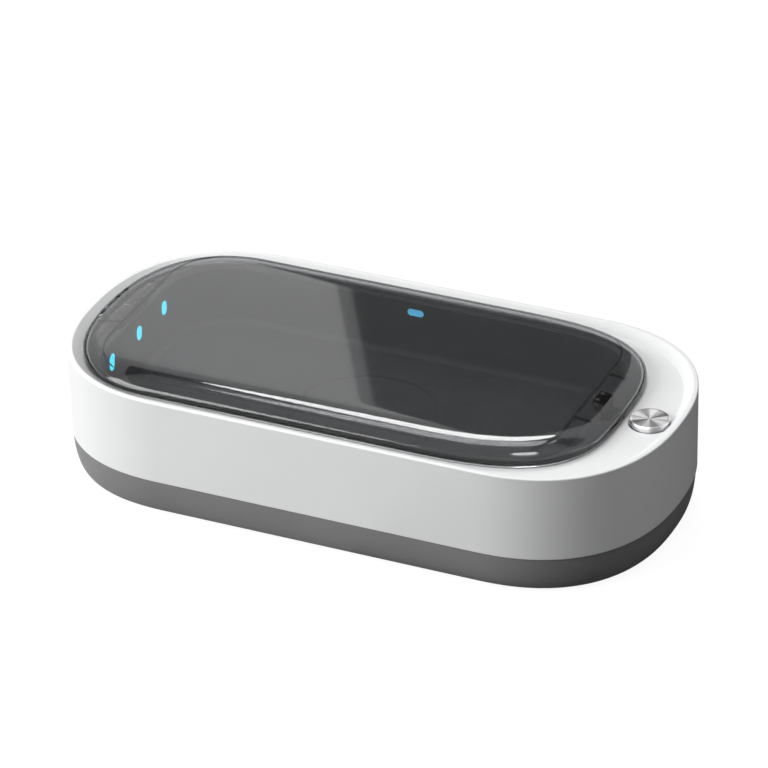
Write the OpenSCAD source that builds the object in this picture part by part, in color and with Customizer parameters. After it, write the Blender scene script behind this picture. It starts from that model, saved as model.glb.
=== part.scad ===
// Ultraviolet sanitizer box for a phone: an oval body, a smoked hinged lid and a release button.
// All sizes are in millimetres. The origin is at the middle of the body, at the feet's undersides.
// +X points to the button end, +Y to the back and +Z up.

/* [Body] */
// Length of the body
body_l = 220; // [216:1:236]
// Width of the body
body_w = 112; // [112:0.5:124]
// Height of the rim above the table
body_h = 45; // [45:0.5:52]
// Length over which each end of the body curves
body_end_l = 52.6; // [46:0.2:56]
// Roundness of the body's ends, where 2 is an ellipse
body_end_n = 2.35; // [2.2:0.05:2.8]
// Height of the seam between the base and the white shell
seam_z = 14.1; // [13.8:0.1:14.6]
// Wall of the white shell
shell_wall = 2.4; // [1.8:0.1:2.6]
// Wall of the dark base
base_wall = 2.2; // [1.8:0.1:2.4]
// Floor of the dark base
base_floor_t = 2.2; // [1.8:0.1:2.4]
// How far the base's lower edge curves inwards
base_curve = 3.4; // [3:0.1:7]
// Step in from the white shell to the base at the seam
seam_step = 0.4; // [0.2:0.1:0.6]

/* [Rim and deck] */
// Flat width on top of the rim
rim_w = 1.7; // [1:0.1:2]
// Width of the slope from the rim down to the deck
slope_w = 3.3; // [2.8:0.1:3.4]
// Depth of the deck below the rim
deck_drop = 2.7; // [2.2:0.1:3]
// Thickness of the deck
deck_t = 2; // [1.8:0.1:2.2]
// Width of the ledge that carries the tray's flange
ledge_w = 1.4; // [1:0.1:1.5]
// Thickness of the ledge
ledge_t = 1.4; // [1:0.1:1.6]

/* [Lid] */
// Gap from the slope's foot to the lid at the left end
lid_end_gap = 0.4; // [0.3:0.1:0.6]
// Gap from the slope's foot to the lid along the sides
lid_side_gap = 1.4; // [1:0.1:1.8]
// White deck left free beside the lid at the right end
button_deck_l = 19.8; // [19:0.1:21]
// Length over which the lid's left end curves
lid_left_l = 40.4; // [38:0.2:44]
// Roundness of the lid's left end
lid_left_n = 2.3; // [2.2:0.05:2.5]
// Length over which the lid's right end curves
lid_right_l = 62.4; // [58:0.2:66]
// Roundness of the lid's right end
lid_right_n = 3.1; // [2.8:0.05:3.3]
// Straight side at the lid's lower edge
lid_side_h = 1.4; // [1:0.1:1.6]
// Height of the lid's rounded shoulder
shoulder_h = 5.6; // [5:0.1:6.4]
// Width of the lid's rounded shoulder
shoulder_w = 14; // [12:0.5:16]
// Wall of the lid
lid_t = 1.8; // [1.6:0.1:2]
// Height of the locating rib under the roof
rib_h = 1.2; // [0.8:0.1:1.6]
// Thickness of the locating rib
rib_t = 0.6; // [0.5:0.1:1]

/* [Chamber] */
// Distance from the lid's left edge to the chamber
chamber_left = 12.3; // [12:0.1:12.6]
// Distance from the lid's right edge to the chamber
chamber_right = 11.2; // [11.1:0.1:12]
// Distance from the lid's sides to the chamber
chamber_side = 4.6; // [4.6:0.1:6]
// Corner radius of the chamber
chamber_r = 24; // [22:0.5:26]
// Height of the chamber's floor
chamber_floor_z = 20.2; // [20:0.1:21]
// Wall of the tray
tray_wall = 1.6; // [1.4:0.1:1.6]
// Floor of the tray
tray_floor_t = 1.8; // [1.6:0.1:1.8]
// Thickness of the tray's flange
flange_t = 1.6; // [1.4:0.1:1.6]
// Thickness of the phone mat
mat_t = 1.4; // [1:0.1:2]

/* [Hinge] */
// Distance of the hinge axis from the lid's left edge
hinge_in = 3.2; // [3:0.1:3.4]
// Height of the hinge axis above the lid's lower edge
hinge_up = 1.6; // [1.5:0.1:1.7]
// Radius of the hinge pin
hinge_pin_r = 0.9; // [0.8:0.05:1]
// Radius of the knuckles round the pin
knuckle_r = 1.8; // [1.7:0.05:1.85]
// Running clearance round the pin
pin_clear = 0.05; // [0.03:0.01:0.08]

/* [Button and latch] */
// Radius of the button
button_r = 6.95; // [6.5:0.05:7]
// Height of the button above the deck
button_proud = 1.76; // [1.6:0.02:2.2]
// Travel of the button, and of the latch that its wedge drives
button_travel = 1.5; // [1:0.1:1.5]
// Clearance round the button
button_clear = 0.2; // [0.15:0.05:0.3]
// Distance of the button's centre from the body's right end
button_in = 11.5; // [11.2:0.1:12]
// Radius of the plunger's stem
stem_r = 2.4; // [2:0.1:2.6]

/* [Lamps] */
// Distance between the lamps on each end wall
lamp_pitch = 19.5; // [17:0.5:19.5]
// Width of an end wall's lamp window
lamp_w = 3.3; // [2.5:0.1:3.6]
// Height of an end wall's lamp window
lamp_h = 5.2; // [4:0.1:6]
// Height of the end walls' lamps
lamp_z = 35; // [34:0.5:35.5]
// Width of a long wall's lamp window
side_lamp_w = 6; // [4:0.1:8]
// Height of a long wall's lamp window
side_lamp_h = 2.4; // [1.5:0.1:2.6]
// Height of the long walls' lamps
side_lamp_z = 37.8; // [36:0.1:38]

/* [Feet] */
// Radius of a foot
foot_r = 7; // [5:0.5:9]
// Height of the base above the table
foot_h = 1; // [0.8:0.1:1.2]
// Depth of a foot's seat in the base
foot_seat = 0.6; // [0.4:0.1:0.8]

/* [Hidden] */
$fn = 48;

// Points on each quarter of an end
steps = 14;
// Small overlap that joins two forms or cuts through a face
eps = 0.2;

// Heights
deck_z = body_h - deck_drop;
seat_z = deck_z - deck_t;
ledge_z = seat_z - ledge_t;
flange_z = seat_z + flange_t;
lid_rest_gap = 0.3;
lid_z = deck_z + lid_rest_gap;
lid_shoulder_z = lid_z + lid_side_h;
lid_top_z = lid_shoulder_z + shoulder_h;
roof_z = lid_top_z - lid_t;
tray_z = chamber_floor_z - tray_floor_t;
mat_top_z = chamber_floor_z + mat_t;

// Outlines: [left x, right x, half width, [left end length, n], [right end length, n]]
body_half = body_l / 2;
BODY = [-body_half, body_half, body_w / 2, [body_end_l, body_end_n], [body_end_l, body_end_n]];
rim_to_deck = rim_w + slope_w;
lid_x0 = -body_half + rim_to_deck + lid_end_gap;
lid_x1 = body_half - button_deck_l;
lid_half_w = body_w / 2 - rim_to_deck - lid_side_gap;
LID = [lid_x0, lid_x1, lid_half_w, [lid_left_l, lid_left_n], [lid_right_l, lid_right_n]];
opening_in = 1.2;
flange_clear = 0.2;
tray_gap = 0.2;
ledge_lap = 2;

// Lid's locating rib, seal and gussets
rib_in = 1.2;
rib_out = 0.5;
rib_corner_in = 2;
gusset_pitch = 80;
gusset_y = 15.1;
gusset_l = 6;
side_gusset_l = 3;
seal_w = 1;
seal_down = 0.1;
seal_up = 0.9;
seal_end_gap = 2;

// Chamber
chamber_x0 = lid_x0 + chamber_left;
chamber_x1 = lid_x1 - chamber_right;
chamber_x = (chamber_x0 + chamber_x1) / 2;
chamber_half = lid_half_w - chamber_side;
wall_x0 = chamber_x0 - tray_wall;
wall_x1 = chamber_x1 + tray_wall;
wall_y = chamber_half + tray_wall;

// Hinge
hinge_x = lid_x0 + hinge_in;
hinge_z = lid_z + hinge_up;
swing_gap = 0.42;
swing_r = norm([hinge_in, hinge_up]) + swing_gap;
trough_half = 24;
trough_wall = 2;
trough_side = 1.8;
trough_gap = 0.3;
trough_t = 2.2;
lug_y0 = 4.2;
lug_y1 = 7.2;
ear_y0 = 7.6;
ear_y1 = 9.6;
lug_gap = 0.1;
hinge_half = 10;
pin_grip = 0.02;
neck_run = 2.5;
neck_below = 0.9;
neck_above = 1.2;
bracket_from_axis = 3.8;
bracket_l = 4;
bracket_x0 = hinge_x + bracket_from_axis;
bracket_x1 = bracket_x0 + bracket_l;
bracket_t = 1;
bracket_half = 11;
relief_gap = 0.2;
relief_r = knuckle_r + relief_gap;
hinge_screw_y = 5.6;
hinge_wire_r = 0.2;
hinge_coil_gap = 0.5;
hinge_spring_gap = 0.9;
hinge_turns = 6.75;
bracket_leg_l = 1.4;
roof_leg_x = 6;
roof_leg_up = 2.95;

// Latch, from the lid's hook to the button
hook_gap = 1.4;
hook_x = wall_x1 + hook_gap;
hook_t = 1.6;
hook_half = 3.6;
hook_nose = 1.6;
hook_nose_h = 2.1;
hook_nose_lip = 0.4;
hook_drop = 11.7;
hook_z = seat_z - hook_drop;
hook_plate_t = 1.2;
hook_plate_up = 1.6;
hook_plate_z = lid_z + hook_plate_up;
hook_plate_l = 2.6;
hook_screw_y = 2.2;
slot_side = 1;
slot_gap = 0.4;
slot_swing = 1.2;
slot_half = hook_half + slot_side;
slot_x0 = hook_x - slot_gap;
slot_x1 = hook_x + hook_t + hook_nose + slot_swing;
latch_gap = 0.3;
latch_z = hook_z + hook_nose_h + latch_gap;
latch_t = 2.6;
latch_half = 7.4;
latch_tip_gap = 0.4;
latch_tip_x = hook_x + hook_t + hook_nose + latch_tip_gap;
tongue_in = 0.2;
tongue_half = hook_half - tongue_in;
tongue_l = 4;
tab_x0 = latch_tip_x + tongue_l;
tab_t = 1.4;
tab_x1 = tab_x0 + tab_t;
tab_drop = 6.2;
tab_z = latch_z - tab_drop;
tab_half = 2.4;
latch_spring_l = 7.6;
latch_spring_r = 1.7;
latch_wire_r = 0.25;
latch_spring_drop = 4.1;
latch_spring_z = latch_z - latch_spring_drop;

// Button
button_x = body_half - button_in;
button_top = deck_z + button_proud;
cap_t = 1.66;
cap_wall = 1.05;
cap_chamfer = 0.4;
cap_roof_z = button_top - cap_t;
well_drop = 4.3;
well_floor_z = seat_z - well_drop;
well_floor_t = 1.2;
well_top = well_floor_z + well_floor_t;
well_r = button_r + button_clear;
well_wall = 1.35;
stem_fit = 0.08;
skirt_gap = 0.9;
skirt_z = well_top + button_travel + skirt_gap;
stem_pin_r = 1.55;
stem_pin_l = 2;
wedge_gap = 0.3;
wedge_top_z = well_floor_z - wedge_gap;
wedge_half = 3.5;
wedge_back = 3;
wedge_front = 4;
wedge_up = 0.9;
wedge_x0 = button_x - wedge_back;
wedge_x1 = button_x + wedge_front;
wedge_z = latch_z + wedge_up;
wedge_run = 3;
ramp_gap = 0.45;
ramp_in = 1;
ramp_half = latch_half - ramp_in;
window_gap = 0.9;
window_side = 0.4;
window_half = wedge_half + window_side;
window_x0 = wedge_x0 - button_travel - window_gap;
latch_past_button = 6.1;
latch_x1 = button_x + latch_past_button;
button_spring_r = 4.4;
button_wire_r = 0.3;
spring_gap = 0.3;

// Guide that carries the latch
guide_t = 1;
guide_drop = 2;
guide_z = latch_z - guide_drop;
guide_wall = 1.5;
guide_gap = 0.1;
guide_half = latch_half + guide_gap;
guide_from_tip = 1.9;
guide_past_latch = 1.4;
guide_x0 = latch_tip_x + guide_from_tip;
guide_x1 = latch_x1 + guide_past_latch;
guide_ear_back = 4.9;
guide_ear_x = button_x - guide_ear_back;
guide_ear_y = 12.5;
guide_ear_up = 2.2;
guide_ear_z = latch_z + guide_ear_up;
guide_ear_t = 1.4;
guide_ear_w = 3.4;
guide_post_x = tab_x1 + latch_spring_l;
guide_post_half = 3;
guide_post_t = 1.4;
runner_in = 1.2;
runner_w = 1.4;
runner_gap = 0.05;
guide_boss_r = 2.6;

// Screws and their holes
screw_fit = 0.05;
loose_fit = 0.2;
tip_gap = 0.4;
small_screw_r = 0.8;
small_hole_r = small_screw_r + screw_fit;
small_head_r = 1.5;
small_head_h = 0.9;
hook_head_r = 1.2;
hook_bite = 2;
guide_bite = 3.6;
coil_bite = 2.8;
board_bite = 3;
case_screw_r = 1.2;
case_head_r = 2.3;
case_head_h = 1.8;
case_boss_r = 3.3;
shell_boss_r = 2.7;
case_split_z = 17.9;
case_head_z = 8;
case_screw_top = 24;
left_screw_in = 13.1;
left_screw_y = 23;
right_screw_in = 22;
right_screw_y = 28;
case_screw_at = [[left_screw_in - body_half, left_screw_y], [body_half - right_screw_in, right_screw_y]];

// Base lip inside the white shell
lip_gap = 0.15;
lip_t = 1.55;
lip_up = 3.5;
lip_down = 2;

// Charger
coil_turns = 10;
coil_groove = 0.2;
coil_r = 22;
coil_inner_r = 10;
coil_h = 1.3;
coil_gap = 0.1;
coil_z = tray_z - coil_gap - coil_h;
ferrite_w = 50;
ferrite_t = 1.2;
ferrite_z = coil_z - ferrite_t;
carrier_w = 54;
carrier_t = 1.2;
carrier_z = ferrite_z - carrier_t;
carrier_ear = 3;
coil_screw_x = 30;
coil_screw_y = 20;
coil_boss_r = 2.4;
mat_in = 3;
mat_groove_gap = 2.5;
mat_groove_r = coil_r + mat_groove_gap;
mat_groove_w = 1.5;
mat_groove_h = 0.5;

// Control board and power inlet
board_half = 36;
board_w = 72;
board_side_gap = 10;
board_y1 = body_w / 2 - board_side_gap;
board_y0 = board_y1 - board_w;
board_z = 6.6;
board_t = 1.6;
board_top = board_z + board_t;
board_screw_in = 5;
board_post_r = 2.5;
inlet_half = 10;
inlet_in = 5;
inlet_y1 = body_w / 2 - inlet_in;
plug_l = 3.5;
plug_in = 0.5;
usb_w = 8.94;
usb_h = 3.2;
usb_l = 7.3;
usb_t = 0.3;
usb_corner_r = 1.3;
usb_gap = 0.15;
usb_x = 0;
usb_z = board_top + usb_h / 2;
usb_in = 1.2;
usb_y1 = body_w / 2 - usb_in;
contact_half = 3.3;
contact_t = 0.7;

// Parts on the control board: chips are [x, y, length, width, height]
chips = [
    [-18, -4, 7, 7, 1.2], [6, -10, 9, 9, 1.4], [16, 8, 6, 6, 3],
    [-8, 20, 5, 4, 1.1], [22, -8, 6, 6, 3.2]
];
capacitor_at = [[-24, 22], [-16, 30], [20, 26]];
capacitor_r = 2.6;
capacitor_h = 4.2;

// Lamp boards and their leads
led_board_t = 0.8;
led_board_l = 42;
led_board_h = 8;
side_board_l = 18;
side_board_h = 4.6;
side_board_up = 1.6;
side_board_z1 = side_lamp_z + side_board_up;
side_board_z0 = side_board_z1 - side_board_h;
side_board_gap = 0.5;
window_fit = 0.05;
window_in = 0.2;
ribbon_t = 0.3;
ribbon_w = 6;
ribbon_z = 12.7;
ribbon_top = ribbon_z + ribbon_t;
plug_h = ribbon_z - board_top;
left_plug_x = plug_in - board_half;
right_plug_x = board_half - plug_in - plug_l;
front_plug_y = board_y0 + plug_in;
back_plug_y = board_y1 - plug_in - plug_l;
right_ribbon_y = 12;
back_ribbon_x = -6;

// Interlock switch under the hook
switch_half = 6.4;
switch_d = 5.6;
switch_h = 6.2;
switch_gap = 1.4;
switch_z1 = hook_z - switch_gap;
switch_pin_r = 0.8;
switch_pin_h = 1.1;

// Feet
foot_end_gap = 34;
foot_side_gap = 26;
foot_x = body_half - foot_end_gap;
foot_y = body_w / 2 - foot_side_gap;
foot_fit = 0.1;
foot_chamfer = 0.4;

// A point on one quarter of a rounded end, moved inwards by d
function end_point(a, b, n, t, d) =
    let (
        x = a * pow(cos(t), 2 / n),
        y = b * pow(sin(t), 2 / n),
        normal = [pow(cos(t), 2 - 2 / n) / a, pow(sin(t), 2 - 2 / n) / b],
        k = d / norm(normal)
    )
    [x - normal[0] * k, y - normal[1] * k];

// The whole outline, moved inwards by d, anticlockwise from the right end
function outline(o, d) =
    let (
        left = [for (i = [0:steps]) end_point(o[3][0], o[2], o[3][1], 90 * i / steps, d)],
        right = [for (i = [0:steps]) end_point(o[4][0], o[2], o[4][1], 90 * i / steps, d)],
        lx = o[0] + o[3][0],
        rx = o[1] - o[4][0]
    )
    concat(
        [for (i = [0:steps]) [rx + right[i][0], right[i][1]]],
        [for (i = [steps:-1:0]) [lx - left[i][0], left[i][1]]],
        [for (i = [1:steps]) [lx - left[i][0], -left[i][1]]],
        [for (i = [steps:-1:1]) [rx + right[i][0], -right[i][1]]]
    );

// A flat plate between two heights
module plate(points, z0, z1) {
    translate([0, 0, z0]) linear_extrude(z1 - z0) polygon(points);
}

// A solid skinned through rings that share a number of points, each ring [points, z]
module loft(rings) {
    n = len(rings[0][0]);
    last = len(rings) - 1;
    polyhedron(
        points = [for (ring = rings) for (p = ring[0]) [p[0], p[1], ring[1]]],
        faces = concat(
            [[for (i = [0:n - 1]) i]],
            [for (k = [0:last - 1]) for (i = [0:n - 1])
                [k * n + i, (k + 1) * n + i, (k + 1) * n + (i + 1) % n]],
            [for (k = [0:last - 1]) for (i = [0:n - 1])
                [k * n + i, (k + 1) * n + (i + 1) % n, k * n + (i + 1) % n]],
            [[for (i = [n - 1:-1:0]) last * n + i]]
        )
    );
}

// A rounded rectangle from x0 to x1, as wide as two times y, with corner radius r
module rounded(x0, x1, y, r) {
    translate([x0 + r, -y]) square([x1 - x0 - 2 * r, 2 * y]);
    translate([x0, r - y]) square([x1 - x0, 2 * (y - r)]);
    for (x = [x0 + r, x1 - r])
        for (side = [-1, 1])
            translate([x, side * (y - r)]) circle(r);
}

// A slot shape with round ends, as wide as w and as tall as h
module pill(w, h) {
    r = min(w, h) / 2;
    run = max(w, h) / 2 - r;
    rotate(w > h ? 0 : 90) {
        square([2 * run, 2 * r], center = true);
        for (x = [-run, run]) translate([x, 0]) circle(r);
    }
}

// The chamber's outline, moved outwards by d
module chamber_outline(d) {
    rounded(chamber_x0 - d, chamber_x1 + d, chamber_half + d, chamber_r + d);
}

// A block between two corners
module block(low, high) {
    translate(low) cube(high - low);
}

// A piece and its mirror image across the middle of the body
module both_sides() {
    children();
    mirror([0, 1, 0]) children();
}

// A round bar along Y, centred on y = 0
module bar_y(x, z, r, length) {
    translate([x, 0, z]) rotate([90, 0, 0]) cylinder(r = r, h = length, center = true);
}

// A round bar along Y from y0 to y1, and its mirror image
module bars_y(x, z, r, y0, y1) {
    both_sides() translate([x, y1, z]) rotate([90, 0, 0]) cylinder(r = r, h = y1 - y0);
}

// An outline in X and Z, as thick as two times half along Y
module profile_y(half, points) {
    translate([0, half, 0]) rotate([90, 0, 0]) linear_extrude(2 * half) polygon(points);
}

// A pan-head screw that points up, with the underside of its head at the origin
module screw_up(r, length, head_r, head_h) {
    cylinder(r = r, h = length);
    translate([0, 0, -head_h]) difference() {
        cylinder(r = head_r, h = head_h);
        translate([0, 0, -eps]) cylinder(r = r * 0.9, h = head_h * 0.6 + eps, $fn = 6);
    }
}

// The ring of points round place i of a wire's path
function wire_ring(path, i, r, sides) =
    let (
        last = len(path) - 1,
        before = path[max(i - 1, 0)],
        after = path[min(i + 1, last)],
        along = (after - before) / norm(after - before),
        out = cross(along, [0, 0, 1]) / norm(cross(along, [0, 0, 1])),
        up = cross(out, along)
    )
    [for (k = [0:sides - 1]) path[i] + r * (cos(360 * k / sides) * out + sin(360 * k / sides) * up)];

// A wire of radius r, swept along a path that stays level or climbs gently about Z
module wire(path, r, sides) {
    n = sides;
    last = len(path) - 1;
    polyhedron(
        points = [for (i = [0:last]) each wire_ring(path, i, r, sides)],
        faces = concat(
            [[for (i = [n - 1:-1:0]) i]],
            [for (k = [0:last - 1]) for (i = [0:n - 1])
                [k * n + i, k * n + (i + 1) % n, (k + 1) * n + (i + 1) % n]],
            [for (k = [0:last - 1]) for (i = [0:n - 1])
                [k * n + i, (k + 1) * n + (i + 1) % n, (k + 1) * n + i]],
            [[for (i = [0:n - 1]) last * n + i]]
        )
    );
}

// Points of a helix about Z that climbs from 0 to a height
function helix(r, height, turns, per_turn) =
    [for (i = [0:turns * per_turn]) [
        r * cos(360 * i / per_turn),
        r * sin(360 * i / per_turn),
        height * i / (turns * per_turn)
    ]];

// Places of the fasteners and feet
module at_case_screws() {
    both_sides() for (p = case_screw_at) translate([p[0], p[1], 0]) children();
}

module at_board_screws() {
    for (x = [board_screw_in - board_half, board_half - board_screw_in])
        for (y = [board_y0 + board_screw_in, board_y1 - board_screw_in])
            translate([x, y, 0]) children();
}

module at_coil_screws() {
    both_sides() for (x = [-coil_screw_x, coil_screw_x])
        translate([chamber_x + x, coil_screw_y, 0]) children();
}

module at_guide_screws() {
    both_sides() translate([guide_ear_x, guide_ear_y, 0]) children();
}

module at_hook_screws() {
    both_sides() translate([hook_x - hook_plate_l / 2, hook_screw_y, 0]) children();
}

module at_hinge_screws() {
    both_sides() translate([(bracket_x0 + bracket_x1) / 2, hinge_screw_y, 0]) children();
}

module at_feet() {
    both_sides() for (x = [-foot_x, foot_x]) translate([x, foot_y, 0]) children();
}

// White shell: outer band, rim, sloped inner face, deck, ledge and bosses
module upper_shell() {
    pocket_half = side_board_l / 2 + side_board_gap;
    color("white") difference() {
        union() {
            shell_band();
            shell_ledge();
            hinge_trough_block();
            shell_bosses();
        }
        tray_space();
        intersection() {
            bar_y(hinge_x, hinge_z, swing_r, 2 * trough_half);
            plate(outline(LID, -trough_gap), 0, body_h + 1);
        }
        translate([button_x, 0, well_top]) cylinder(r = well_r, h = body_h);
        translate([button_x, 0, well_floor_z - eps])
            cylinder(r = stem_r + stem_fit, h = well_floor_t + 2 * eps);
        at_case_screws() translate([0, 0, case_split_z - eps])
            cylinder(r = case_screw_r + screw_fit, h = case_screw_top + tip_gap + eps - case_split_z);
        at_guide_screws() translate([0, 0, guide_ear_z + guide_ear_t - eps])
            cylinder(r = small_hole_r, h = guide_bite + tip_gap + eps);
        both_sides() block([chamber_x - pocket_half, chamber_half, side_board_z0],
            [chamber_x + pocket_half, wall_y + led_board_t + side_board_gap, seat_z + eps]);
    }
}

module shell_band() {
    difference() {
        plate(outline(BODY, 0), seam_z, body_h);
        plate(outline(BODY, shell_wall), seam_z - 1, seat_z);
        loft([
            [outline(BODY, rim_to_deck), deck_z],
            [outline(BODY, rim_w), body_h],
            [outline(BODY, rim_w), body_h + 1]
        ]);
    }
}

// Ledge under the lid's edge that the tray's flange lies on
module shell_ledge() {
    difference() {
        plate(outline(LID, opening_in - ledge_lap), ledge_z, seat_z + eps);
        plate(outline(LID, opening_in + ledge_w), ledge_z - 1, body_h);
    }
}

// Space that the tray takes: its flange above the ledge, and its walls with a gap round them
module tray_space() {
    plate(outline(LID, opening_in), seat_z, body_h + 1);
    linear_extrude(body_h) chamber_outline(tray_wall + tray_gap);
}

// Block under the deck's left end, in which the lid's edge swings
module hinge_trough_block() {
    intersection() {
        plate(outline(BODY, shell_wall / 2), hinge_z - swing_r - trough_t, seat_z);
        block([-body_half, -trough_half - trough_wall, 0],
            [hinge_x + swing_r + trough_side, trough_half + trough_wall, body_h]);
    }
}

module shell_bosses() {
    at_case_screws() translate([0, 0, case_split_z])
        cylinder(r = shell_boss_r, h = seat_z + eps - case_split_z);
    at_guide_screws() translate([0, 0, guide_ear_z + guide_ear_t])
        cylinder(r = guide_boss_r, h = seat_z + eps - guide_ear_z - guide_ear_t);
    translate([button_x, 0, well_floor_z])
        cylinder(r = well_r + well_wall, h = seat_z + eps - well_floor_z);
}

// Dark base tub with its curved lower edge, the lip inside the white shell, bosses and posts
module lower_case() {
    boss_z = foot_h + base_floor_t / 2;
    color("dimgray") difference() {
        union() {
            difference() {
                loft([for (k = [5:-1:0]) base_ring(18 * k, 0, seam_z - foot_h)]);
                loft(concat(
                    [for (k = [5:-1:0]) base_ring(18 * k, base_wall, seam_z - foot_h - base_floor_t)],
                    [[outline(BODY, seam_step + base_wall), seam_z + 1]]
                ));
            }
            base_lip();
            at_case_screws() translate([0, 0, boss_z])
                cylinder(r = case_boss_r, h = case_split_z - boss_z);
            at_board_screws() translate([0, 0, boss_z]) cylinder(r = board_post_r, h = board_z - boss_z);
        }
        at_case_screws() translate([0, 0, -eps]) {
            cylinder(r = case_screw_r + loose_fit, h = case_split_z + 2 * eps);
            cylinder(r = case_head_r + loose_fit, h = case_head_z + eps);
        }
        at_board_screws() translate([0, 0, board_z - board_bite - tip_gap])
            cylinder(r = small_hole_r, h = board_bite + tip_gap + eps);
        at_feet() cylinder(r = foot_r + foot_fit, h = foot_h + foot_seat);
        translate([usb_x, usb_y1 - usb_l, usb_z]) rotate([90, 0, 180]) linear_extrude(usb_l + 2 * base_wall)
            rounded(-usb_w / 2 - usb_gap, usb_w / 2 + usb_gap, usb_h / 2 + usb_gap, usb_corner_r);
    }
}

// One ring of the base's curve: a is 0 at the seam and 90 at the floor
function base_ring(a, inset, height) =
    [outline(BODY, seam_step + inset + (base_curve - inset / 2) * (1 - cos(a))), seam_z - height * sin(a)];

module base_lip() {
    difference() {
        union() {
            plate(outline(BODY, seam_step + base_wall / 4), seam_z - lip_down, seam_z);
            plate(outline(BODY, shell_wall + lip_gap), seam_z - lip_down, seam_z + lip_up);
        }
        plate(outline(BODY, shell_wall + lip_gap + lip_t), 0, seam_z + lip_up + 1);
    }
}

// Tray: flange, walls and floor of the chamber, with openings for the lamps and the hook
module chamber_tray() {
    color("darkslategray") difference() {
        union() {
            difference() {
                plate(outline(LID, opening_in + flange_clear), seat_z, flange_z);
                block([-body_half, -trough_half - loose_fit, 0],
                    [hinge_x + swing_r + loose_fit, trough_half + loose_fit, body_h]);
            }
            translate([0, 0, tray_z]) linear_extrude(flange_z - tray_z) chamber_outline(tray_wall);
            at_coil_screws() translate([0, 0, ferrite_z])
                cylinder(r = coil_boss_r, h = tray_z + eps - ferrite_z);
        }
        translate([0, 0, chamber_floor_z]) linear_extrude(body_h) chamber_outline(0);
        block([slot_x0, -slot_half, seat_z - 1], [slot_x1, slot_half, body_h]);
        end_lamps(chamber_x0 - tray_wall - eps, tray_wall + 2 * eps, window_fit);
        end_lamps(chamber_x1 - eps, tray_wall + 2 * eps, window_fit);
        both_sides() side_lamp(chamber_half - eps, tray_wall + 2 * eps, window_fit);
        at_coil_screws() translate([0, 0, ferrite_z - eps])
            cylinder(r = small_hole_r, h = coil_bite + tip_gap + eps);
        at_hinge_screws() translate([0, 0, seat_z - eps])
            cylinder(r = small_hole_r, h = flange_t + 2 * eps);
    }
}

// Three upright lamp shapes from x for a length, on an end wall
module end_lamps(x, length, gap) {
    for (y = [-lamp_pitch, 0, lamp_pitch])
        translate([x, y, lamp_z]) rotate([90, 0, 90]) linear_extrude(length)
            pill(lamp_w + 2 * gap, lamp_h + 2 * gap);
}

// One level lamp shape from y for a length, on the back wall
module side_lamp(y, length, gap) {
    translate([chamber_x, y + length, side_lamp_z]) rotate([90, 0, 0]) linear_extrude(length)
        pill(side_lamp_w + 2 * gap, side_lamp_h + 2 * gap);
}

// Soft mat with a shallow ring round the place of the charging coil
module phone_mat() {
    color("gray") difference() {
        translate([0, 0, chamber_floor_z]) linear_extrude(mat_t) chamber_outline(-mat_in);
        translate([chamber_x, 0, mat_top_z - mat_groove_h]) difference() {
            cylinder(r = mat_groove_r + mat_groove_w, h = mat_t);
            translate([0, 0, -1]) cylinder(r = mat_groove_r, h = mat_t + 2);
        }
    }
}

// Smoked lid: roof, rounded shoulders, side, locating rib with gussets, hinge lugs and latch boss
module lid_cover() {
    color("dimgray", 0.6) difference() {
        union() {
            difference() {
                lid_form(0, lid_z);
                lid_form(lid_t, lid_z - 1);
            }
            lid_rib();
            bars_y(hinge_x, hinge_z, knuckle_r, lug_y0, lug_y1);
            latch_boss();
        }
        bar_y(hinge_x, hinge_z, relief_r, 2 * (lug_y0 - lug_gap));
        bars_y(hinge_x, hinge_z, relief_r, lug_y1 + lug_gap, hinge_half + lug_gap);
        bar_y(hinge_x, hinge_z, hinge_pin_r + pin_clear, 2 * hinge_half);
        at_hook_screws() translate([0, 0, hook_plate_z])
            cylinder(r = small_hole_r, h = hook_plate_t + hook_bite + tip_gap);
    }
}

// The lid's outer form moved inwards by t, from a height up
module lid_form(t, z0) {
    loft(concat([[outline(LID, t), z0]], [for (k = [0:6]) lid_ring(15 * k, t)]));
}

// One ring of the lid's shoulder: a is 0 at the side and 90 at the roof
function lid_ring(a, t) =
    [outline(LID, t + (shoulder_w - t / 2) * (1 - cos(a))), lid_shoulder_z + (shoulder_h - t) * sin(a)];

// Thin rounded rectangle under the roof, with short gussets outside it
module lid_rib() {
    x0 = chamber_x0 + rib_in;
    x1 = chamber_x1 - rib_in;
    y = chamber_half + rib_out;
    r = chamber_r - rib_corner_in;
    z0 = roof_z - rib_h;
    z1 = roof_z + lid_t / 4;
    intersection() {
        union() {
            translate([0, 0, z0]) linear_extrude(z1 - z0) difference() {
                rounded(x0, x1, y, r);
                rounded(x0 + rib_t, x1 - rib_t, y - rib_t, r - rib_t);
            }
            both_sides() {
                for (x = [chamber_x - gusset_pitch / 2, chamber_x + gusset_pitch / 2])
                    block([x, y - rib_t, z0], [x + rib_t, y + side_gusset_l, z1]);
                block([x0 - gusset_l, gusset_y, z0], [x0 + rib_t, gusset_y + rib_t, z1]);
                block([x1 - rib_t, gusset_y, z0], [x1 + gusset_l, gusset_y + rib_t, z1]);
            }
        }
        lid_form(lid_t / 2, lid_z);
    }
}

// Boss under the lid's right shoulder that the hook is screwed to
module latch_boss() {
    intersection() {
        block([hook_x - hook_plate_l, -hook_half - loose_fit, hook_plate_z + hook_plate_t],
            [hook_x + hook_t, hook_half + loose_fit, lid_top_z]);
        lid_form(lid_t / 2, lid_z);
    }
}

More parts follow.
